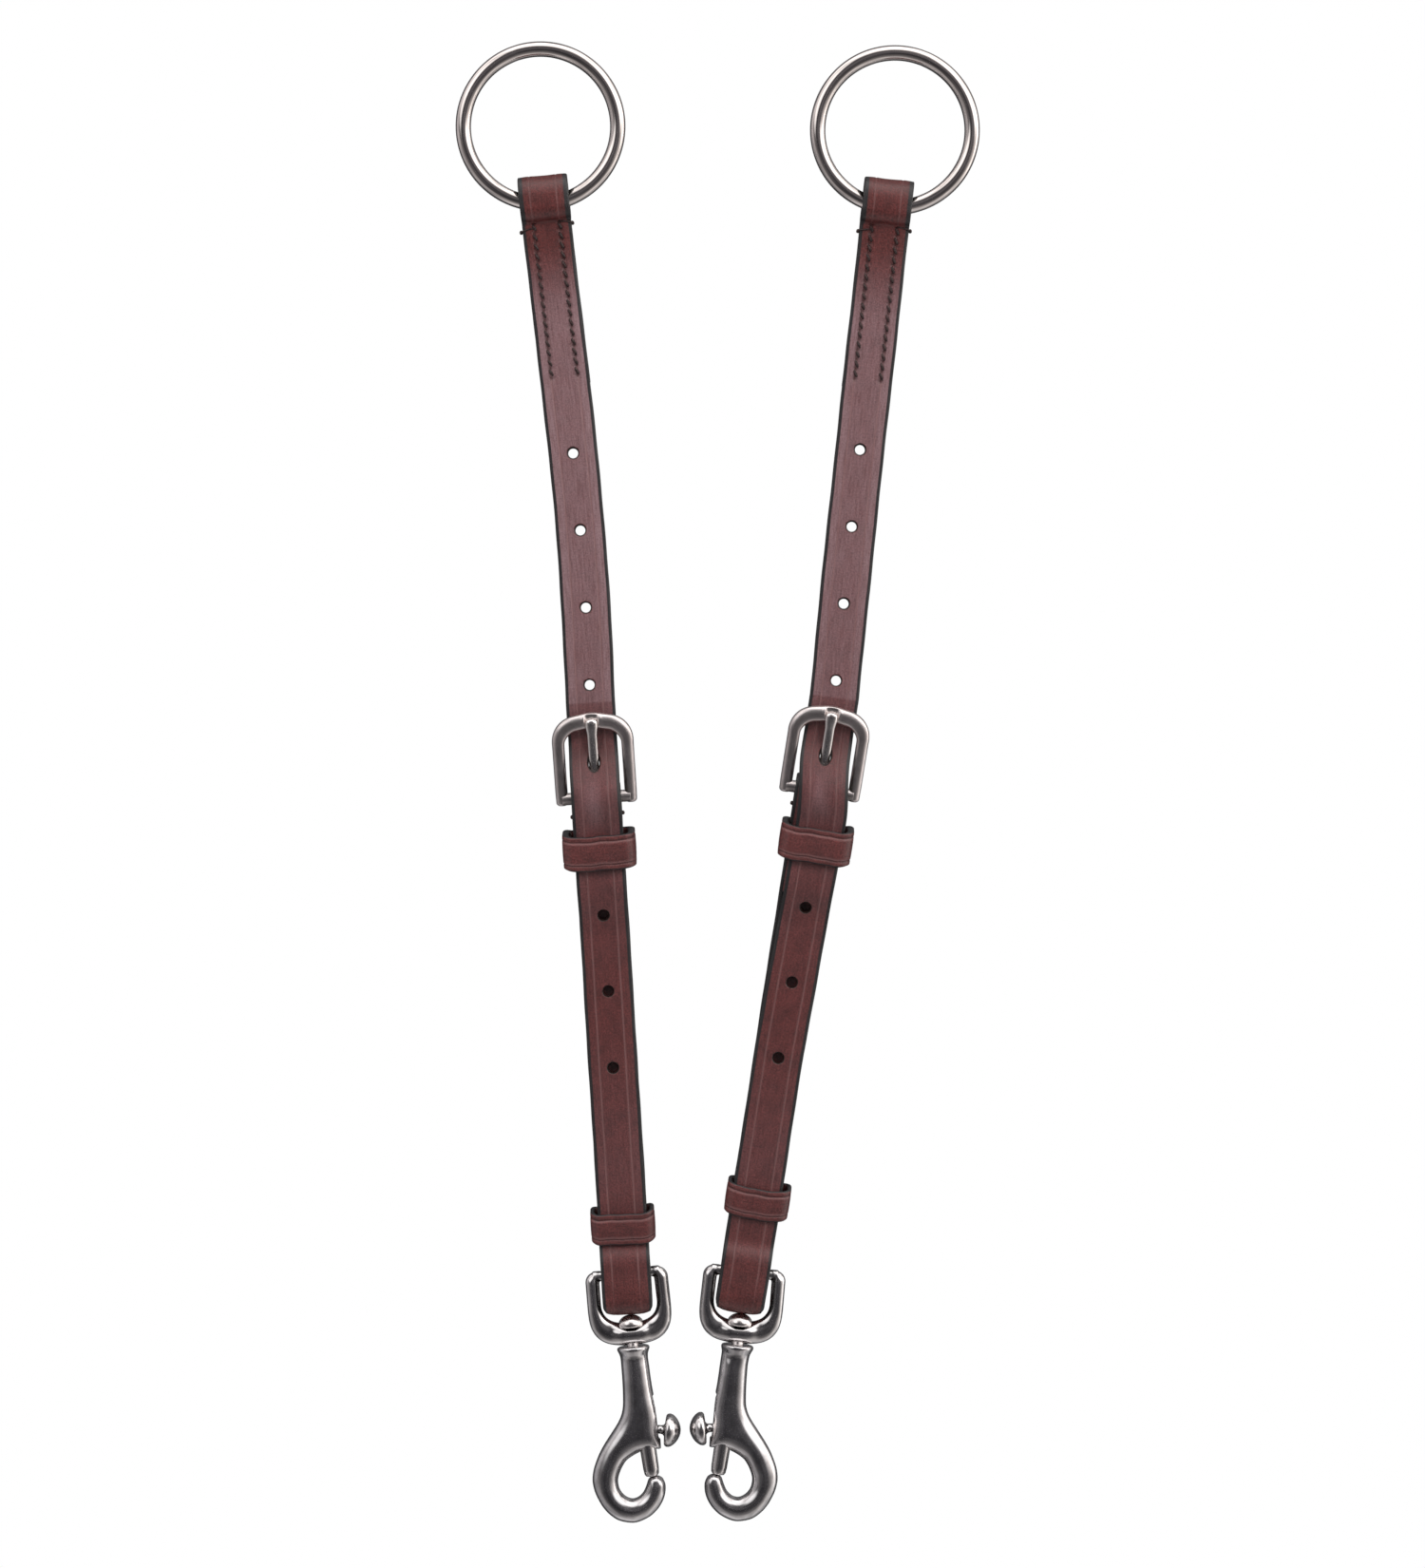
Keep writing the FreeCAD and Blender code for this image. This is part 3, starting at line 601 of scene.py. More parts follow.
def steel(name, tint, rough, spread, brush=0.0, grime=0.25, wave=0.06):
    """Steel: cloudy grime and roughness spread, fine scratches and faint casting waves."""
    material, tree, shader = principled(name)
    coords = tree.node("TexCoord").outputs["Object"]
    clouds = tree.noise(coords, scale=170.0, detail=5.0, roughness=0.6)
    pits = tree.noise(coords, scale=1300.0, detail=4.0, roughness=0.7)
    # Brushed scratches run along z
    stretch = (1.0, 1.0, 0.05) if brush else (0.6, 0.6, 1.4)
    scratches = tree.noise(tree.node("Mapping", Vector=coords, Scale=stretch),
                           scale=900.0, detail=3.0, roughness=0.65)
    tone = tree.ramp(clouds, (0.36, scaled(tint, 1 - grime)), (0.6, tint))
    tone = tree.mix(0.22, tone, tree.ramp(pits, (0.32, (0.72, 0.71, 0.72)), (0.48, 1.0)),
                    "MULTIPLY")
    roughness = tree.math("MULTIPLY_ADD", clouds, spread, rough - spread * 0.5)
    roughness = tree.math("MULTIPLY_ADD", scratches, 0.06 + brush * 0.1, roughness)
    fine = tree.bump(scratches, strength=brush * 0.10, distance=0.00003)
    swell = tree.noise(coords, scale=150.0, detail=1.0, roughness=0.4)
    waves = tree.bump(swell, strength=min(1.0, wave * 1.6), distance=0.00012, under=fine)
    # Pitting relief is turned off: raise its strength for a rougher casting
    relief = tree.bump(pits, strength=0.0, distance=0.00003, under=waves)
    tree.set(shader, Base_Color=tone, Metallic=1.0, Roughness=roughness, Normal=relief)
    return material


def thread():
    """Dark waxed thread with diagonal strands."""
    material, tree, shader = principled("waxed_thread")
    coords = tree.node("TexCoord").outputs["Object"]
    mottle = tree.noise(coords, scale=1500.0, detail=3.0)
    strands = tree.node("TexWave", wave_type="BANDS", bands_direction="DIAGONAL",
                        Scale=900.0, Distortion=1.0, Vector=coords)
    tone = tree.ramp(mottle, (0.3, (0.008, 0.004, 0.004)), (0.7, (0.03, 0.014, 0.013)))
    tree.set(shader, Base_Color=tone, Roughness=0.55,
             Normal=tree.bump(strands, strength=0.5, distance=0.0001))
    return material


# sheen is the colour of the painted sheen, a grey haze standing in for the leather's reflection
LEATHER = leather("strap_leather", dark=(0.036, 0.0078, 0.0072), mid=(0.058, 0.0115, 0.0104),
                  sheen=(0.156, 0.094, 0.101))
HOLE_EDGE = leather("punched_edge", dark=(0.006, 0.003, 0.003), mid=(0.012, 0.006, 0.005))
THREAD = thread()
RING_STEEL = steel("polished_ring_steel", (0.76, 0.695, 0.665), rough=0.07, spread=0.05,
                   wave=0.03, grime=0.12)
BUCKLE_STEEL = steel("satin_buckle_steel", (0.74, 0.675, 0.66), rough=0.29, spread=0.10,
                     brush=0.2, wave=0.03, grime=0.15)
TONGUE_STEEL = steel("polished_tongue_steel", (0.86, 0.81, 0.79), rough=0.20, spread=0.06,
                     grime=0.10, wave=0.03)
SNAP_STEEL = steel("polished_snap_steel", (0.70, 0.675, 0.67), rough=0.12, spread=0.07,
                   wave=0.10, grime=0.2)
CAST_STEEL = steel("cast_snap_steel", (0.66, 0.64, 0.645), rough=0.15, spread=0.07, wave=0.15)
SPRING_STEEL = steel("spring_wire", (0.5, 0.5, 0.5), rough=0.3, spread=0.1)


# ------------------------------------------------------------------ strap
class Path:
    """Side profile of a strap: points (y, z, heading), lengths in mm and turns in degrees."""

    def __init__(self, y, z, heading, step):
        self.place = np.array([y, z], float)
        self.heading = math.radians(heading)
        self.step = step
        self.points = [(y, z, self.heading)]

    def line(self, length):
        n = max(2, int(math.ceil(length / self.step)))
        ahead = np.array([math.cos(self.heading), math.sin(self.heading)])
        for k in range(1, n + 1):
            self.points.append((*(self.place + ahead * length * k / n), self.heading))
        self.place = self.place + ahead * length
        return self

    def arc(self, radius, turn):
        turn = math.radians(turn)
        spoke = radius * (1 if turn > 0 else -1)
        start = self.heading
        centre = self.place + np.array([-math.sin(start), math.cos(start)]) * spoke
        n = max(5, int(abs(turn) * (radius + 1.4) / self.step))
        for k in range(1, n + 1):
            self.heading = start + turn * k / n
            normal = np.array([-math.sin(self.heading), math.cos(self.heading)])
            self.place = centre - normal * spoke
            self.points.append((*self.place, self.heading))
        return self

    def jog(self, length, shift):
        """S-bend moving the path sideways, to the left of its heading when positive."""
        radius = (length ** 2 + shift ** 2) / (4 * abs(shift))
        turn = math.copysign(math.degrees(2 * math.atan(abs(shift) / length)), shift)
        return self.arc(radius, turn).arc(radius, -turn)


def upper_path(side):
    """Up the back, over the ring and down the front to the flex line."""
    radius, bend, straight, start, tip = 5.75, 5.4, 3.6, 59.0, 6.0
    rise = bend + straight / 2
    path = Path(LAYER, -start, 90, UPPER_STEP)
    path.line(tip).line(start - tip - rise).jog(bend, LAYER - radius).line(straight)
    path.arc(radius, 180).line(straight).jog(bend, radius - LAYER).line(side.flex - rise)
    return np.array(path.points)


def lower_path(side):
    """Down over the buckle, round the eye, up the back and over the buckle bar."""
    eye_radius, eye_bend, eye_straight = 3.8, 8, 3
    bar_radius, bar_bend, bar_straight = 3.6, 13.5, 0.5
    eye_space = eye_bend + eye_straight
    path = Path(-LAYER, side.flex_low, -90, LOWER_STEP)
    path.line(side.flex_low - 22).jog(22, -5.1).jog(14, 1.8).line(13.5).jog(18, 3.3)
    path.line(side.reach - eye_space - (14 + 13.5 + 18)).jog(eye_bend, LAYER - eye_radius)
    path.line(eye_straight + 8.0).arc(eye_radius, 180).line(eye_straight + 8.0)
    path.jog(eye_bend, eye_radius - LAYER).line(side.reach - eye_space - bar_bend - bar_straight)
    path.jog(bar_bend, LAYER - bar_radius).line(bar_straight).arc(bar_radius, 180)
    path.line(bar_straight).jog(bar_bend, bar_radius - LAYER).line(16).line(4)
    return np.array(path.points)[1:]


# x of the points across the grain face, closest together at the crease
LEFT_FACE_X = np.array([-7.45, -7.15, -6.7, -6.1, -5.5, -5.05, -4.8, -4.62, -4.48, -4.38, -4.3,
                        -4.22, -4.12, -3.98, -3.8, -3.4, -2.8, -2.1, -1.3, -0.5])


def strap_section():
    """Closed section: x, depth (below zero on the grain side) and kind of surface."""
    face = -THICK / 2
    bevel, bend = 0.34, 0.55
    flat = -LEFT_FACE_X[0]
    grain = [(x, face + bevel * max(0.0, (abs(x) - CREASE) / (flat - CREASE)) ** 1.6, GRAIN)
             for x in np.concatenate([LEFT_FACE_X, -LEFT_FACE_X[::-1]])]
    curve = [(flat + bend * math.sin(a), bend * (1 - math.cos(a))) for a in np.radians([25, 50, 75])]
    right = [(x, face + bevel + rise, EDGE) for x, rise in curve]
    right.append((HALF_WIDTH, 0.0, EDGE))
    right += [(x, -face - rise, EDGE) for x, rise in curve[::-1]]
    flesh = [(x, -face, FLESH) for x in (7.2, 4.5, 1.5, -1.5, -4.5, -7.2)]
    left = [(-x, depth, kind) for x, depth, kind in right[::-1]]
    return np.array(grain + right + flesh + left)


def bow(side, z):
    """Sideways sag of the upper strap at height z."""
    return side.bow * np.sin(math.pi * np.clip(-z / side.flex, 0, 1) ** 1.35)


def front_shift(side, z):
    """Sideways shift of the lower strap's front layer at height z."""
    return side.front_shift * smooth(-12, 10, -z) * np.clip((85 + z) / 73, 0, 1)


def strap_run(side):
    """The strap row by row: places, directions, and shaping values as (rows, 1) arrays."""
    up, low = side.up, side.low
    upper, lower = upper_path(side), lower_path(side)
    (y_up, z_up, turn_up), (y_low, z_low, turn_low) = upper.T, lower.T
    count = len(upper)
    eye_turn = int(np.argmin(z_low))
    z_turn = z_low[eye_turn]
    centre = np.vstack([up.pts(columns(bow(side, z_up), y_up, z_up)),
                        low.pts(columns(0, y_low, z_low))])
    normal = np.vstack([up.dirs(columns(0, -np.sin(turn_up), np.cos(turn_up))),
                        low.dirs(columns(0, -np.sin(turn_low), np.cos(turn_low)))])
    # The width direction follows the bow and turns gently across the flex line
    slope = np.where(z_up > 0, 0, bow(side, z_up + 0.5) - bow(side, z_up - 0.5))
    weight = 0.5 * smooth(14 - side.flex, -side.flex, z_up) * (np.arange(count) > count * 0.55)
    weight = weight[:, None]
    across_up = up.dirs(columns(1, 0, -slope)) * (1 - weight) + low.x * weight
    weight = (0.5 * (1 - smooth(0, 14, side.flex_low - z_low))
              * (np.arange(len(lower)) < len(lower) * 0.2))[:, None]
    across = np.vstack([across_up, low.x * (1 - weight) + across_up[-1] * weight])
    across /= np.linalg.norm(across, axis=1, keepdims=True)

    z = np.concatenate([z_up, z_low])[:, None]
    length_up = running_length(upper[:, :2])
    along = np.concatenate([length_up, length_up[-1] + LOWER_STEP
                            + running_length(lower[:, :2])])[:, None]
    row = np.arange(len(z))[:, None]
    is_up = row < count
    front_up = is_up & (row > np.argmax(z_up))
    front_low = ~is_up & (row <= count + eye_turn)
    # Both ends are skived thin
    thin = np.where(is_up, smooth(0, 6, along), smooth(0, 4, along[-1] - along))
    # The creases, and their painted highlights, fade on the two loops
    to_eye = np.abs(along - along[count + eye_turn])
    crease = np.where(is_up, 0.45 + 0.55 * smooth(-6.0, -10.0, z),
                      1 - smooth(16, 8, to_eye) * 0.8)
    # The front layer domes over the buckle bar, and a little in both loops
    dome = np.where(is_up, 0.35 * bell(z, 4.0) * front_up,
                    1.05 * bell(z + 0.5, 6.5) * (row < count + eye_turn - 60)
                    + 0.45 * bell(z - z_turn - 6.0, 5.0) * front_low)
    pinch = np.where(is_up, 0, (1 - smooth(z_turn, z_turn + 2.6, z)) ** 2)
    return SimpleNamespace(
        z=z, along=along, is_up=is_up, front_up=front_up, front_low=front_low,
        thick=0.36 + 0.64 * thin, crease=crease, dome=dome, pinch=pinch,
        shift=front_low * front_shift(side, z), centre=centre, normal=normal, across=across,
        lift_axis=np.where(is_up, up.z, low.z), low_front=lower[:eye_turn])


def stitch_dents(run, side_x):
    """How far each awl hole, and the seat of the whole row, draws the grain face down."""
    near = run.is_up & (side_x > 3.0) & (side_x < 5.6)
    holes = bell(-run.z - AWL_HOLES, 0.62).sum(1, keepdims=True)
    in_row = (-run.z > STITCH_FIRST - 2) & (-run.z < AWL_HOLES[-1] + 1)
    return (near * holes * bell(side_x - STITCH_X, 0.75),
            near * in_row * bell(side_x - STITCH_X, 0.9))


def strap_verts(side, run, x, depth, grain, groove, dent, seat):
    phase, along, side_x = side.phase, run.along, np.abs(x)
    part = side_x / HALF_WIDTH
    ridge = bell(side_x - CREASE + 0.62, 0.35)
    waves = (0.05 * np.sin(along * 0.13 + phase + x * 0.2)
             + 0.03 * np.sin(along * 0.41 + x * 0.5 + phase * 2))
    relief = ((0.26 * groove - 0.05 * ridge) * run.crease + 0.42 * dent + 0.12 * seat
              - run.dome * (1 - part ** 2) + waves)
    depth = (depth + grain * relief) * run.thick
    wobble = 0.06 * np.sin(along * 0.09 + phase) + 0.04 * np.sin(along * 0.33 + 1.3 * phase)
    # The eye fold is pinched narrower, and both loops lift at their edges
    wide = x * (1 + wobble / HALF_WIDTH) * (1 - 0.07 * run.pinch * part ** 2) + run.shift
    lift = 0.45 * np.where(run.is_up, smooth(-3.5, 3.5, run.z) * part ** 2,
                           run.pinch * part ** 3)
    moves = ((wide, run.across), (depth, run.normal), (lift, run.lift_axis))
    return run.centre[:, None] + sum(size[..., None] * MM * axis[:, None] for size, axis in moves)


def strap_attributes(side, run, x, kind, groove, dent):
    """Dyed edges, painted highlights on the creases, painted shade and painted sheen at every
    vertex.
    """
    z, side_x, grain = run.z, np.abs(x), kind == GRAIN
    loop_edge = run.is_up * 0.95 * smooth(6.2, 6.9, side_x) * smooth(-7.5, -5.0, z)
    grain_edge = np.maximum(0.95 * smooth(6.55, 7.3, side_x), loop_edge)
    edge = np.where(grain, grain_edge, np.where(kind == EDGE, 1.0, 0.9 * smooth(5.4, 7.0, side_x)))
    # Painted shade: in the awl dents, over the top of the ring loop and down its edges, above the
    # buckle bar round the long hole, and at the edges of the bulge over the bar
    painted_shade_up = np.clip(dent * 1.1, 0, 1) + 0.5 * run.front_up * (
        bell(z - 5.5, 2.2) + 0.5 * smooth(4.8, 7.0, side_x) * smooth(-7, -4, z))
    painted_shade_low = run.front_low * (0.55 * bell(z - 12.5, 6.0)
                                   + 0.45 * smooth(4.6, 6.6, side_x) * bell(z + 2, 8.0))
    pressed = grain * np.clip(np.where(run.is_up, painted_shade_up, painted_shade_low), 0, 1)
    # Painted sheen: strong down the front of the upper strap below the loop, faint elsewhere and on
    # the cut faces, stronger near the flex line and outside the creases, with a painted highlight
    # left of the middle of the bulge over the bar
    painted_sheen_up = np.where(run.front_up,
                       smooth(-12, -40, z) * (0.98 - 0.10 * smooth(-110, -150, z)), 0.25)
    painted_sheen_low = (0.13 + 0.08 * np.sin(run.along * 0.05)
                + 0.30 * (1 - smooth(0, 16, np.abs(side.flex_low - z)))
                - 0.10 * smooth(-120, -135, z)
                + run.front_low * (0.55 * bell(x + 1.2, 3.0) * bell(z + 1.5, 6.5)
                                   - 0.10 * bell(z - 12, 5.0)))
    worn = (side.wear * np.clip(np.where(run.is_up, painted_sheen_up, painted_sheen_low), 0, 1)
            * np.where(grain, 1.0, 0.2) * (0.75 + 0.25 * smooth(4.2, 5.5, side_x)))
    return dict(edge=edge, crease=grain * groove * run.crease, pressed=pressed, worn=worn)


def punch(place, centre, depth, radius=1.6, stretch=1.0, tilt=0.0):
    """Cutter for a hole through the strap, flared at both faces."""
    profile = [(-depth, radius + 0.9), (-1.5, radius + 0.5), (-1.2, radius + 0.24),
               (-0.8, radius + 0.08), (-0.4, radius), (0.9, radius), (1.25, radius + 0.08),
               (1.55, radius + 0.2), (depth, radius + 0.4)]
    cos, sin = math.cos(tilt), math.sin(tilt)
    return lathe(place.child(centre), np.array([0, cos, sin]), X_AXIS,
                 np.array([0, -sin, cos]) * stretch, profile, 40)


def strap_holes(side, run):
    cutters = []
    for k in range(4):
        z = -(side.first_hole + 25.0 * k)
        cutters.append(punch(side.up, (bow(side, z), -LAYER, z), 2.2))
    y_front, z_front, _ = run.low_front[::-1].T
    for k, (depth, tilt) in enumerate(((2.2, 14), (1.72, 0), (1.72, 0))):
        z = -(37.9 + 24.8 * k)
        centre = (front_shift(side, z), np.interp(z, z_front, y_front), z)
        cutters.append(punch(side.low, centre, depth, tilt=math.radians(tilt)))
    # Long hole above the bar
    cutters.append(punch(side.low, (0, -4.15, 10.9), 3.4, radius=1.75, stretch=1.75,
                         tilt=math.radians(-24)))
    return join(cutters)


def strap(side):
    run = strap_run(side)
    section = strap_section()
    x, depth, kind = section.T
    groove = bell(np.abs(x) - CREASE, 0.24)
    dent, seat = stitch_dents(run, np.abs(x))
    verts = strap_verts(side, run, x, depth, kind == GRAIN, groove, dent, seat)
    uv = columns(running_length(section[:, :2]) * 0.1, run.along * 0.1 + side.uv_shift)
    ob = make(side, "strap", (verts, ring_faces(*verts.shape[:2])), LEATHER, uv=uv,
              attributes=strap_attributes(side, run, x, kind, groove, dent))
    ob.data.materials.append(HOLE_EDGE)
    cut(ob, make(side, "cutter", strap_holes(side, run), HOLE_EDGE))
    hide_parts(side.name + "strap_upper", side.name + "strap_lower")
    flex = joint_frame(side.name + "strap_flex")
    flex.pts((0, 0, 7.0))
    flex.pts((0, 0, -7.0))
    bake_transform(ob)


# ------------------------------------------------------------------ thread
def stitches(place, x_row, facing, lift, first, count, slant, length=2.35, radius=0.40,
             sag=np.zeros_like):
    """Two rows of slanting stitches; facing is -1 on the front, 1 on the back."""
    rows = []
    t = np.linspace(-1, 1, 9)
    for x_middle in (-x_row, x_row):
        for k in range(count):
            z_middle = -(first + k * STITCH_PITCH)
            x = x_middle + slant * 0.5 * t + sag(z_middle + 0 * t)
            y = facing * (LAYER + THICK / 2 + lift + 0.26 - 0.62 * np.abs(t) ** 2.6)
            points = place.pts(columns(x, y, z_middle - t * length / 2))
            rows.append(tube(points, radius * (1 - 0.25 * np.abs(t) ** 3), 9))
    return rows


def knot(place, x, y, z, radius):
    """A small ball, slightly taller than wide."""
    rings, count = 7, 14
    cos, sin = circle(count).T
    tilt = np.linspace(-math.pi / 2, math.pi / 2, rings + 2)[1:-1, None]
    points = columns(x + radius * np.sin(tilt), y + radius * np.cos(tilt) * cos,
                     z + radius * 1.15 * np.cos(tilt) * sin)
    return place.pts(points).reshape(-1, 3), ring_faces(rings, count)


# x, y and z of the thread end drawn over the right edge, z from its knot
THREAD_END = np.array([(4.2, -3.0, 0.8), (5.4, -3.12, 0.7), (6.8, -2.98, 0.4), (7.8, -2.72, 0.2),
                       (8.35, -1.9, 0.0), (8.2, -0.8, -0.1), (7.9, 0.0, -0.1)])


def ring_thread(side):
    def sag(z):
        return bow(side, z)

    parts = stitches(side.up, STITCH_X, facing=-1, lift=-0.14, first=STITCH_FIRST,
                     count=STITCH_COUNT, slant=0.95, length=1.85, radius=0.47, sag=sag)
    parts += stitches(side.up, STITCH_X, facing=1, lift=0.02, first=STITCH_FIRST,
                      count=STITCH_COUNT, slant=-0.45, length=2.1, radius=0.39, sag=sag)
    for sign, z in ((-1, -8.9), (1, -7.2)):
        end = THREAD_END * (sign, 1, 1) + (0, 0, z)
        parts.append(tube(spline(side.up.pts(end), 26), 0.24, 8))
        parts.append(knot(side.up, 8.35 * sign, -1.3, z, 0.62))
        parts.append(knot(side.up, 8.5 * sign, -0.4, z, 0.5))
    make(side, "ring_thread", join(parts), THREAD, "upper_strap_body",
         "ring_stitching")


def buckle_thread(side):
    parts = stitches(side.low, 5.6, facing=1, lift=0.02, first=15.5, count=5, slant=0.3)
    for sign in (-1, 1):
        z = -5.9 if sign * side.hand < 0 else -5.4
        for y, radius in ((-0.4, 0.62), (0.6, 0.55)):
            parts.append(knot(side.low, 8.25 * sign, y, z, radius))
    make(side, "buckle_thread", join(parts), THREAD, "lower_strap_body",
         "buckle_stitching")


# ------------------------------------------------------------------ keepers
def keeper_section(thick, half):
    """Closed section: height, distance outwards, kind of surface and depth of groove."""
    left = -half + np.array([0.5, 0.9, 1.35, 1.62, 1.8, 1.98, 2.25, 2.9])
    heights = np.concatenate([left, [-1.2, 0]])
    section = []
    for z in np.concatenate([heights, -heights[-2::-1]]):
        groove = bell(abs(z) - half + 1.8, 0.2)
        crown = 0.16 * (1 - (z / half) ** 2)
        section.append((z, thick / 2 - 0.34 * groove + crown, GRAIN, groove))
    top = [(half - 0.5 + 0.5 * math.sin(a), (thick / 2 - 0.02) * math.cos(a), EDGE, 0)
           for a in np.radians([30, 60, 90, 120, 150])]
    section += top
    section += [(z, -thick / 2, FLESH, 0) for z in (half - 0.7, half / 3, -half / 3, -half + 0.7)]
    section += [(-z, out, kind, groove) for z, out, kind, groove in top[::-1]]
    return np.array(section)


def keeper(side, name, hides, body, inner_x, y_front, y_back, thick, height, down, shear,
           phase, shift):
    """Leather band round the strap, its mid-height `down` below the buckle bar."""
    half_x, half_y = inner_x + thick / 2, (y_back - y_front) / 2 + thick / 2
    outline = rounded_rectangle(half_x, half_y, 2.6, arc_steps=10, edge_steps=14)
    ring = spline(outline, 150, closed=True)
    along = tangents(ring, closed=True)
    x, y = ring.T[:, :, None]
    out_x, out_y = along[:, 1:2], -along[:, 0:1]
    z, out, kind, groove = keeper_section(thick, height / 2).T
    grain = kind == GRAIN
    # A shallow seam on the back
    seam = bell(x - 2.0, 0.5) * (y > 0)
    out = out - 0.35 * seam * grain
    sway = 0.14 * np.sin(x * 0.35 + phase) + 0.08 * np.sin(x * 0.9 + phase * 2)
    z_place = z + shear * (y / (2 * half_y)) + sway + 0.8 * (np.abs(x) / half_x) ** 5
    verts = side.low.pts(columns(x + out_x * out + shift, y + out_y * out + (y_front + y_back) / 2,
                                 z_place - down))
    every = np.ones(verts.shape[:2])
    # Painted shade in the seam and the two grooves, painted highlights just inside the grooves and a
    # faint painted sheen, besides the dyed edges
    attributes = dict(edge=every * (kind == EDGE),
                      crease=every * 0.9 * bell(np.abs(z) - height / 2 + 2.25, 0.2) * grain,
                      pressed=np.maximum(seam, 0.9 * groove) * grain,
                      worn=every * 0.04 * grain)
    uv = columns(z * 0.1 + 3.1 * phase, running_length(ring)[:, None] * 0.1)
    make(side, name, (verts, ring_faces(*every.shape, closed=True)), LEATHER, body,
         hides, uv=uv, attributes=attributes)


def keepers(side):
    keeper(side, "sewn_keeper", "fixed_keeper", "lower_strap_body", inner_x=9.5, y_front=-6.85,
           y_back=3.75, thick=2.2, height=11.2, down=17.0, shear=2.2,
           phase=side.sewn_phase, shift=side.sewn_shift)
    keeper(side, "sliding_keeper", "runner_keeper", "runner_body", inner_x=8.95, y_front=-3.5,
           y_back=3.5, thick=1.35, height=10.0, down=side.runner - 0.3, shear=2.0,
           phase=side.runner_phase, shift=side.runner_shift)


# ------------------------------------------------------------------ ring and buckle
def round_ring(side):
    radius, wire = 25.0, 2.5
    low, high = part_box(side.name + "ring")
    angle = angles(240)
    outward = columns(np.cos(angle), 0, np.sin(angle))
    centres = np.array((low + high) / 2) + radius * MM * outward
    weld = bell((angle - side.weld) * radius, 1.1)
    wire_radius = wire - 0.03 * weld + 0.012 * np.sin(angle * 7)
    shape = sweep(centres, outward, np.tile(Y_AXIS, (240, 1)),
                  circle(40) * wire_radius[:, None, None], closed=True)
    make(side, "round_ring", shape, RING_STEEL, "ring_body", "ring")


# Section of the buckle frame: outwards and back, as parts of its half width and half depth
BUCKLE_SECTION = [
    (-1, 0.55), (-1, 0.1), (-0.98, -0.33), (-0.91, -0.63), (-0.74, -0.86), (-0.46, -0.98),
    (-0.15, -1.02), (0.15, -0.995), (0.43, -0.91), (0.69, -0.73), (0.87, -0.49), (0.96, -0.22),
    (1, 0.1), (1, 0.55), (0.94, 0.84), (0.76, 1.0), (0.4, 1.0), (0, 1.0), (-0.4, 1.0),
    (-0.76, 1.0), (-0.94, 0.84)]


def buckle(side):
    """Arched frame open at the bottom, with a round bar across it."""
    place, half_depth = side.buckle, 1.6
    left = np.vstack([columns(-11.2, np.linspace(-2.0, 16.6, 22)),
                      arc_points(-4.3, 17.9, 6.9, 176, 102, 12)])
    crown_x = np.linspace(-3.4, 3.4, 9)
    crown = columns(crown_x, 24.75 + 0.75 * (1 - (crown_x / 4.4) ** 2))
    path = spline(np.vstack([left, crown, left[::-1] * (-1, 1)]), 230)
    x, z = path.T
    along = tangents(path)
    half_width = 1.98 + 0.5 * smooth(17, 24, z) - 0.1 * smooth(3, -2, z)
    profile = spline(BUCKLE_SECTION, 52, closed=True) * columns(half_width, half_depth)[:, None]
    # Seat pressed for the tongue, with a low lip either side
    y = profile[..., 1]
    seat = bell(x, 2.05, 8)[:, None]
    lip = 0.7 * bell(np.abs(x) - 2.45, 0.45)[:, None]
    seated = np.maximum(y, -half_depth + 0.85 * seat) - 0.16 * lip * (y < -1.2)
    profile[..., 1] = np.where((z > 15)[:, None] & (y < 0), seated, y)
    # The ends of the legs are rounded off
    taper = np.array([0.62, 0.86, 0.97])[:, None, None]
    profile[:3] *= taper
    profile[-3:] *= taper[::-1]
    legs = sweep(place.pts(columns(x, 0, z)), place.dirs(columns(-along[:, 1], 0, along[:, 0])),
                 np.tile(place.y, (len(path), 1)), profile)
    bar_profile = [(-11.0, 0.05), (-11.0, BAR_RADIUS)]
    bar_profile += [(at, BAR_RADIUS - 0.04 * bell(abs(at) - 9.0, 0.5))
                    for at in np.linspace(-10.9, 10.9, 30)]
    bar_profile += [(11.0, BAR_RADIUS), (11.0, 0.05)]
    bar = lathe(place, X_AXIS, Y_AXIS, Z_AXIS, bar_profile, 40)
    make(side, "buckle", join([legs, bar]), BUCKLE_STEEL, "lower_strap_body",
         "buckle_frame")


# Middle line of the tongue: y, z
TONGUE_LINE = np.array([(-3.05, 0.3), (-2.75, 3.0), (-2.05, 7.0), (-1.85, 12.0), (-1.85, 18.0),
                        (-1.95, 22.5), (-1.95, 25.0), (-1.6, 26.3)])


def tongue(side):
    place = side.buckle
    line = spline(columns(0, *TONGUE_LINE.T), 70)
    along = tangents(line)
    t = np.linspace(0, 1, 70)
    end = np.sqrt(np.clip(1 - ((t - 0.945) / 0.055).clip(0, 1) ** 2, 0.0025, 1))
    width = (1.62 + 0.32 * smooth(0.78, 0.9, t)) * end
    depth = (0.95 + 0.12 * smooth(0.75, 0.9, t)) * end
    profile = superellipse(1, 1, 2.05, 28) * columns(width, depth)[:, None]
    prong = sweep(place.pts(line), np.tile(place.x, (70, 1)),
                  place.dirs(columns(0, -along[:, 2], along[:, 1])), profile)
    cos, sin = circle(64).T
    outward = columns(0, -cos, sin)
    loop = sweep(place.pts(outward * TONGUE_EYE_RADIUS), np.tile(place.x, (64, 1)),
                 place.dirs(outward), superellipse(1.55, 0.84, 3.2, 28), closed=True)
    make(side, "tongue", join([prong, loop]), TONGUE_STEEL, "tongue_body",
         "buckle_tongue")


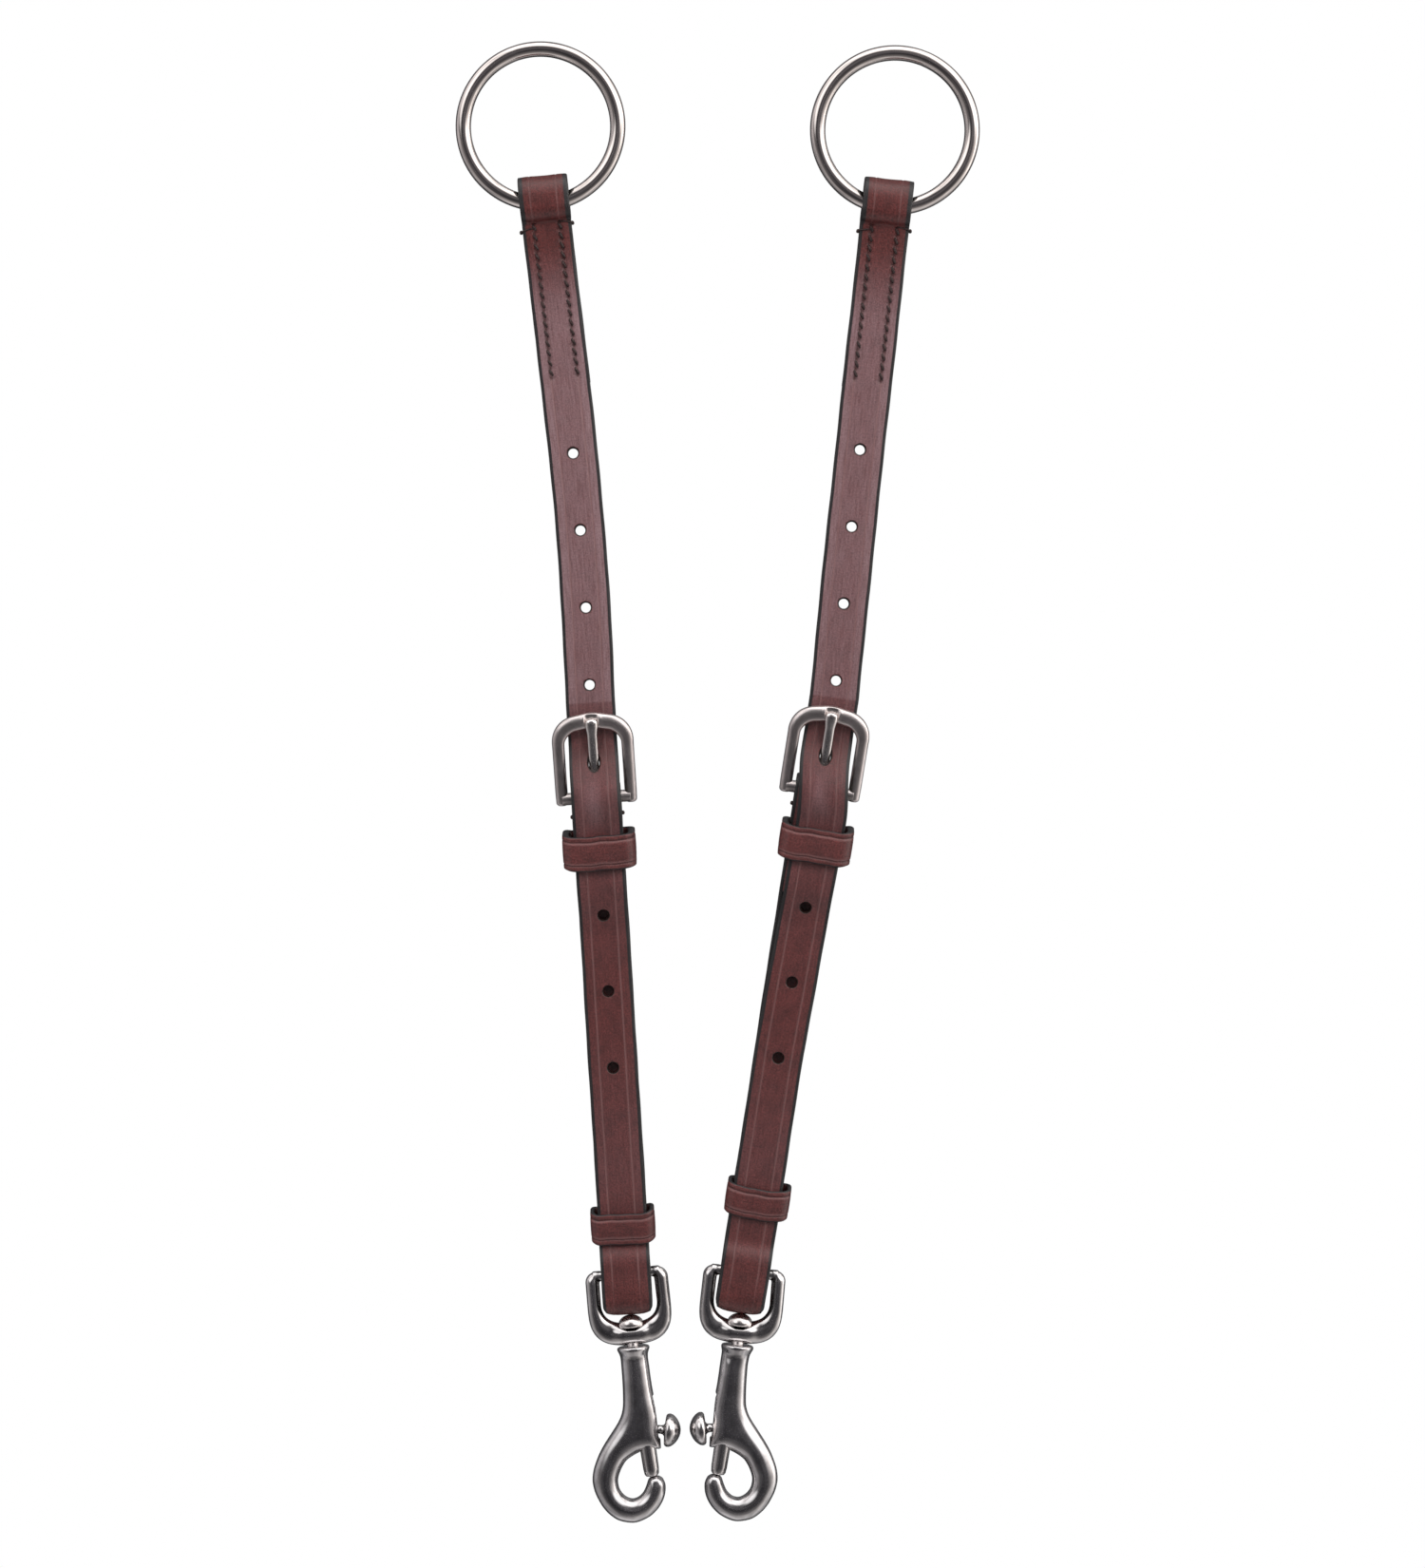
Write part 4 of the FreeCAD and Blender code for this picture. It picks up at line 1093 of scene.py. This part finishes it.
# ------------------------------------------------------------------ swivel eye and rivet
# Outlines of the eye: x, z
EYE_HEAD = [(-13.5, -9.0), (-13.35, 1.5), (13.35, 1.5), (13.5, -9.0)]
EYE_FOOT = mirrored([
    (13.5, -9.0), (13.5, -12.0), (13.3, -14.8), (12.7, -17.2), (11.5, -19.4), (9.7, -21.1),
    (7.2, -22.3), (3.8, -22.95), (0, -23.1)])
EYE_WINDOW = mirrored([
    (9.05, -9.0), (9.0, -10.4), (8.6, -12.0), (7.7, -13.5), (6.2, -14.7), (4.0, -15.5),
    (0, -15.8)])


def swivel_eye(side):
    outline = np.vstack([round_corners(EYE_HEAD, 3.4), spline(EYE_FOOT, 90)[1:-1]])
    window = np.vstack([[(-8.7, 6.0), (8.7, 6.0)], spline(EYE_WINDOW, 70)])

    def field(X, Y, Z):
        flat = X[:, 0, :], Z[:, 0, :]
        d = np.minimum(inside_distance(outline, *flat), -inside_distance(window, *flat))
        boss = bell(X, 5.4, 4) * smooth(-15.5, -19.0, Z)
        half_depth = 2.25 + 1.2 * boss - 0.35 * smooth(-2.5, 1.5, Z)
        rim = 2.25 + 1.25 * smooth(-11.0, -16.5, Z)
        plate = rounded_plate(d[:, None, :], Y, rim, 2.0, half_depth)
        bar = np.maximum(np.sqrt(Z ** 2 + Y ** 2) - 1.65, np.abs(X) - 10.6)
        body = soft_min(plate, bar, 0.6)
        radius = np.sqrt(X ** 2 + Y ** 2)
        bore = np.maximum(radius - 2.06, Z + 12)
        # Countersink the rivet head beds into
        sink = radius - 3.3 - 0.6 * (Z + 17.9)
        return np.maximum(body, np.maximum(-bore, -np.maximum(sink, Z + 16.9)))

    cast(side, "eye", (-15, -4.2, -24.5), (15, 4.2, 3.2), 0.27, field, SNAP_STEEL, "eye_body",
         "snap_eye", relax=2)


# Distance down, radius
RIVET_PROFILE = [
    (13.3, 0.05), (13.34, 0.8), (13.5, 1.6), (13.82, 2.35), (14.35, 3.1), (15.05, 3.7),
    (15.9, 4.02), (16.6, 4.1), (17.1, 3.95), (17.34, 3.6), (17.34, 2.0), (24.0, 2.0), (30.4, 2.0)]


def rivet(side):
    shape = lathe(side.hang, -Z_AXIS, X_AXIS, Y_AXIS, RIVET_PROFILE, 56)
    make(side, "rivet", shape, TONGUE_STEEL, "hook_body", "swivel_rivet")


# ------------------------------------------------------------------ hook
# Outline of the left hook, clockwise by spans: x, z
HOOK_RIGHT = [
    (4.3, -25.0), (4.45, -28.0), (4.6, -31), (4.7, -34), (4.95, -38), (5.35, -41.5),
    (5.75, -45), (5.95, -49), (6.0, -53), (5.85, -57.4)]
HOOK_THROAT = [
    (1.4, -57.5), (-1.8, -58.1), (-5.3, -59.9), (-7.0, -61.8), (-8.1, -63.7), (-8.85, -65.6),
    (-9.0, -67.4), (-8.6, -69.4), (-7.3, -71.3), (-5.3, -72.5), (-3.2, -72.3), (-1.3, -70.9),
    (-0.1, -68.9), (0.75, -66.9)]
HOOK_TIP = [(0.75, -66.9), (1.6, -66.15), (2.9, -65.95), (4.3, -66.05), (5.5, -66.9)]
HOOK_OUTSIDE = [
    (5.5, -66.9), (6.15, -68.9), (6.0, -71.1), (5.4, -73.1), (4.3, -75.1), (2.5, -77.2),
    (-0.4, -79.2), (-4.9, -80.45), (-9.6, -79.4), (-12.5, -77.3), (-14.5, -74.8), (-15.9, -72),
    (-16.9, -69), (-17.25, -65.8), (-16.7, -62.6), (-15.5, -59.6), (-13.9, -56.6),
    (-11.9, -53.7), (-9.7, -50.9), (-7.6, -48.2), (-6.1, -45.7), (-5.2, -42.8), (-4.8, -39),
    (-4.55, -34.5), (-4.45, -30), (-4.4, -27.5), (-4.3, -25.0)]
# Collar at the top of the shank: z, radius
COLLAR = np.array([
    (-30.5, 3.2), (-29.0, 3.7), (-27.6, 4.0), (-26.4, 4.35), (-25.4, 4.85), (-24.8, 5.15),
    (-24.3, 5.3), (-23.9, 5.2), (-23.6, 4.95), (-23.4, 4.4)])


def hook(side):
    """Shank, slotted body and curved limb in one casting."""
    outline = np.vstack([spline(HOOK_RIGHT, 60), spline(HOOK_THROAT, 110),
                         spline(HOOK_TIP, 14)[1:-1], spline(HOOK_OUTSIDE, 190)])
    outline[:, 0] += side.shank_shift * smooth(-50, -42, outline[:, 1])
    cos, sin = math.cos(side.bolt_lean), math.sin(side.bolt_lean)

    def field(X, Y, Z):
        # Drawn for the left piece; the right one mirrors x
        X = X * side.hand
        d = inside_distance(outline, X[:, 0, :], Z[:, 0, :])
        # Round over the ridge along the middle of the outline
        soft = d.copy()
        for _ in range(40):
            pad = np.pad(soft, 1, mode="edge")
            soft = (soft + pad[2:, 1:-1] + pad[:-2, 1:-1] + pad[1:-1, 2:] + pad[1:-1, :-2]) / 5
        blend = smooth(0.8, 2.4, d)
        d = (d * (1 - blend) + soft * blend)[:, None, :]
        limb = smooth(-52.0, -62.0, Z)
        tip = smooth(-73.5, -68.5, Z) * (X > -4) * (Z < -62)
        rim = 4.5 + 0.9 * limb + 0.9 * smooth(-42, -52, Z) - 3.4 * tip
        half_depth = 4.1 - 0.7 * tip - 0.25 * smooth(-30, -26, Z)
        body = rounded_plate(d, Y, rim, 2.0 + 0.05 * limb, half_depth)
        radius = np.sqrt(X ** 2 + Y ** 2)
        collar = np.maximum(radius - np.interp(Z, *COLLAR.T), np.maximum(Z + 23.45, -30.5 - Z))
        body = soft_min(body, collar, 0.7)
        # Bore for the bolt, slot for the knob's peg and seat for the rivet
        x = (X - BOLT_X) * cos + (Z - BOLT_Z) * sin
        z = (Z - BOLT_Z) * cos - (X - BOLT_X) * sin
        bore = np.maximum(np.sqrt(x ** 2 + Y ** 2) - 2.76, np.maximum(z - 15.2, -11.0 - z))
        slot = np.maximum(np.maximum(np.abs(x - 4.75) - 4.75, np.abs(Y) - 1.62),
                          np.abs(z - 3.9) - 6.9)
        seat = np.maximum(radius - 2.03, np.maximum(Z + 22.0, -30.6 - Z))
        cuts = np.minimum(np.minimum(bore, slot), seat)
        # The slot's lips are eased
        ease = np.maximum(np.sqrt(np.clip(np.abs(Y) - 0.9, 0, None) ** 2
                                  + np.clip(np.abs(z - 3.9) - 6.2, 0, None) ** 2) - 1.15, 5.3 - X)
        return np.maximum(body, np.maximum(-cuts, -ease - 0.15))

    left, right = sorted((-18.2 * side.hand, 7.2 * side.hand))
    cast(side, "hook", (left, -5.8, -81.4), (right, 5.8, -22.8), 0.26, field, CAST_STEEL,
         "hook_body", "snap_hook", relax=3)


# ------------------------------------------------------------------ bolt, knob and spring
# Distance down from the bolt's origin, radius
BOLT_PROFILE = [
    (-3.5, 0.05), (-3.5, 2.3), (-3.2, 2.6), (-2.0, 2.64), (6.0, 2.64), (12.5, 2.55),
    (14.2, 2.35), (14.8, 1.95), (15.0, 1.2), (15.0, 0.05)]
# Distance out from the bolt's middle, radius
KNOB_PROFILE = [
    (1.2, 0.05), (1.2, 1.38), (5.2, 1.4), (5.9, 1.55), (6.35, 2.1), (6.45, 3.6), (6.55, 4.6),
    (6.85, 5.1), (7.35, 5.36), (8.0, 5.38), (8.7, 5.15), (9.5, 4.6), (10.3, 3.75),
    (10.95, 2.7), (11.4, 1.6), (11.6, 0.7), (11.62, 0.05)]


def bolt_and_knob(side):
    place, hand = side.bolt, side.hand
    bolt = make(side, "bolt", lathe(place, -Z_AXIS, X_AXIS, Y_AXIS, BOLT_PROFILE, 48),
                SNAP_STEEL, hides="snap_bolt")
    knob_axes = place.child((0, 0, 0.7), -hand * KNOB_LEAN), X_AXIS * hand, Y_AXIS, Z_AXIS
    peg = lathe(*knob_axes, [(1.2, 1.42), (6.0, 1.42)], 32)
    cut(bolt, make(side, "peg_cutter", peg, SNAP_STEEL))
    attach(bolt, side.name + "bolt_body")
    make(side, "knob", lathe(*knob_axes, KNOB_PROFILE, 64), SNAP_STEEL,
         "bolt_body", "thumb_knob")


def spring(side):
    radius, wire, pitch, turns, start = 1.95, 0.35, 2.3, 4.45, 4.2
    angle = np.linspace(0, 2 * math.pi * turns, 200)
    line = columns(radius * np.cos(angle), radius * np.sin(angle),
                   start + pitch * angle / (2 * math.pi))
    coil = make(side, "coil", tube(side.bolt.pts(line), wire, 10), SPRING_STEEL,
                "hook_body", "bolt_spring")
    # The drawn bolt presses the spring up against the end of its bore
    tuple(map(float, side.bolt.pts((0, 0, 14.85))))
    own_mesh(coil)


def build(name, spec):
    name += "_"
    side = SimpleNamespace(name=name, **spec)
    side.up = joint_frame(name + "ring_tilt")
    side.low = joint_frame(name + "tongue_pivot")
    side.buckle = joint_frame(name + "tongue_pivot", BUCKLE_PITCH)
    side.hang = joint_frame(name + "eye_tilt")
    slide = JOINTS[name + "bolt_slide"]["axis"]
    lean = math.atan2(-slide[0], slide[2]) - joint_lean(name + "eye_tilt")
    side.bolt_lean = lean * side.hand    # as drawn for the left piece
    side.bolt = side.hang.child((side.hand * BOLT_X, 0, BOLT_Z), side.hand * side.bolt_lean)
    for piece in (strap, ring_thread, buckle_thread, keepers, round_ring, buckle, tongue,
                  swivel_eye, rivet, hook, bolt_and_knob, spring):
        piece(side)


for name, spec in SIDES.items():
    build(name, spec)

# ------------------------------------------------------------------ set, in metres
TARGET = (0.05566, 0, -0.21279)    # middle of the view
FLOOR_HALF = 6
FLOOR_DROP = 0.03
CAMERA_DISTANCE = 1.35
VIEW_WIDTH = 0.46125               # width seen at the pieces
SENSOR = 36.0                      # mm


def floor():
    """Floor that looks white to the camera and pale grey to other rays."""
    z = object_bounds()[0][2] - FLOOR_DROP
    corners = [(x * FLOOR_HALF, y * FLOOR_HALF, z) for x, y in ((-1, -1), (1, -1), (1, 1), (-1, 1))]
    mesh = bpy.data.meshes.new("floor")
    mesh.from_pydata(corners, [], [(0, 1, 2, 3)])
    mesh.update()
    ob = bpy.data.objects.new("floor", mesh)
    bpy.context.scene.collection.objects.link(ob)
    material = bpy.data.materials.new("pale_floor")
    tree = Tree(material)
    is_camera = tree.node("LightPath").outputs["Is Camera Ray"]
    white = tree.node("Emission", Color=(1, 1, 1))
    pale = tree.node("BsdfDiffuse", Color=(0.82, 0.82, 0.83))
    tree.finish(tree.node("MixShader", is_camera, pale, white))
    mesh.materials.append(material)
    ob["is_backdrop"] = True
    ob.visible_glossy = False


# Reflected room: brightness from -1 to 1 along each axis, as (position 0 to 1, colour)
ROOM_Y = [
    (0.0, (0.115, 0.112, 0.121)), (0.05, (0.125, 0.121, 0.130)), (0.12, (0.185, 0.18, 0.185)),
    (0.22, (0.42, 0.40, 0.40)), (0.35, (1.05, 1.02, 1.00)), (0.50, (1.55, 1.53, 1.52)),
    (0.60, (0.80, 0.79, 0.80)), (0.70, (0.25, 0.25, 0.255)), (0.84, (0.13, 0.13, 0.135)),
    (1.0, (0.11, 0.11, 0.115))]
ROOM_X = [
    (0.0, (0.62, 0.62, 0.64)), (0.35, (0.80, 0.80, 0.81)), (0.5, 0.95),
    (0.7, (1.25, 1.25, 1.24)), (1.0, (1.45, 1.44, 1.42))]
ROOM_Z = [
    (0.0, (0.50, 0.50, 0.51)), (0.3, 0.62), (0.5, (0.88, 0.87, 0.87)),
    (0.8, (1.12, 1.11, 1.10)), (1.0, 1.25)]
# Soft bright patches: direction, inner and outer half angle in degrees, level
WINDOWS = [((-0.60, -0.66, 0.46), 8, 26, 1.3),
           ((0.62, -0.62, 0.48), 9, 28, 1.7),
           ((0.0, -0.45, 0.90), 10, 32, 1.3)]


def studio():
    """White to the camera, plain half-white light, and a shaded room in reflections."""
    world = bpy.data.worlds.new("studio")
    bpy.context.scene.world = world
    tree = Tree(world, "OutputWorld")
    ray = tree.node("LightPath")
    direction = tree.node("TexCoord").outputs["Generated"]
    axes = tree.node("SeparateXYZ", direction)
    y, x, z = [tree.ramp(tree.math("MULTIPLY_ADD", axes.outputs[i], 0.5, 0.5), *stops)
               for i, stops in ((1, ROOM_Y), (0, ROOM_X), (2, ROOM_Z))]
    patches = tree.noise(direction, scale=1.7, detail=2.0, roughness=0.5)
    room = tree.mix(1.0, tree.mix(1.0, y, x, "MULTIPLY"), z, "MULTIPLY")
    patches = tree.ramp(patches, (0.35, (0.55, 0.55, 0.56)), (0.65, (1.45, 1.44, 1.42)))
    room = tree.mix(1.0, room, patches, "MULTIPLY")
    glow = None
    for towards, inner, outer, level in WINDOWS:
        facing = tree.node("VectorMath", direction, tuple(Vector(towards).normalized()),
                           operation="DOT_PRODUCT").outputs["Value"]
        patch = tree.node("MapRange", facing, math.cos(math.radians(outer)),
                          math.cos(math.radians(inner)), 0, level,
                          interpolation_type="SMOOTHERSTEP")
        glow = tree.math("ADD", glow, patch) if glow else patch
    room = tree.node("VectorMath", room, glow, operation="ADD")
    reflected = tree.node("Background", Color=room)
    ambient = tree.node("Background", Color=(1, 1, 1), Strength=0.50)
    backdrop = tree.node("Background", Color=(1, 1, 1))
    lit = tree.node("MixShader", ray.outputs["Is Glossy Ray"], ambient, reflected)
    tree.finish(tree.node("MixShader", ray.outputs["Is Camera Ray"], lit, backdrop))
    # Rays find the surroundings by themselves, so reflections keep their own contrast
    world.cycles.sampling_method = "NONE"


def softbox(name, offset, size, power):
    """Area light placed from the target and aimed at it, hidden from reflections."""
    light = bpy.data.lights.new(name, "AREA")
    light.shape = "RECTANGLE"
    light.size, light.size_y = size
    light.energy = power
    ob = bpy.data.objects.new(name, light)
    bpy.context.scene.collection.objects.link(ob)
    place = tuple(a + b for a, b in zip(TARGET, offset))
    ob.location = place
    aim = Vector(TARGET) - Vector(place)
    ob.rotation_euler = aim.to_track_quat("-Z", "Y").to_euler()
    ob.visible_glossy = False
    ob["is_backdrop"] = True


def camera():
    """Level camera in front of the pieces."""
    data = bpy.data.cameras.new("camera")
    ob = bpy.data.objects.new("camera", data)
    bpy.context.scene.collection.objects.link(ob)
    ob.location = (TARGET[0], -CAMERA_DISTANCE, TARGET[2])
    ob.rotation_euler = (math.radians(90), 0, 0)
    data.sensor_fit = "HORIZONTAL"
    data.sensor_width = SENSOR
    data.lens = SENSOR * CAMERA_DISTANCE / VIEW_WIDTH
    bpy.context.scene.camera = ob


floor()
studio()
softbox("left_softbox", offset=(-0.75, -1.0, 0.75), size=(0.5, 0.7), power=15)
softbox("right_softbox", offset=(0.75, -1.0, 0.65), size=(0.5, 0.7), power=11)
softbox("top_softbox", offset=(0, -0.35, 1.3), size=(0.9, 0.4), power=9)
camera()
bpy.context.scene.view_settings.view_transform = "Standard"
bpy.context.scene.view_settings.look = "None"
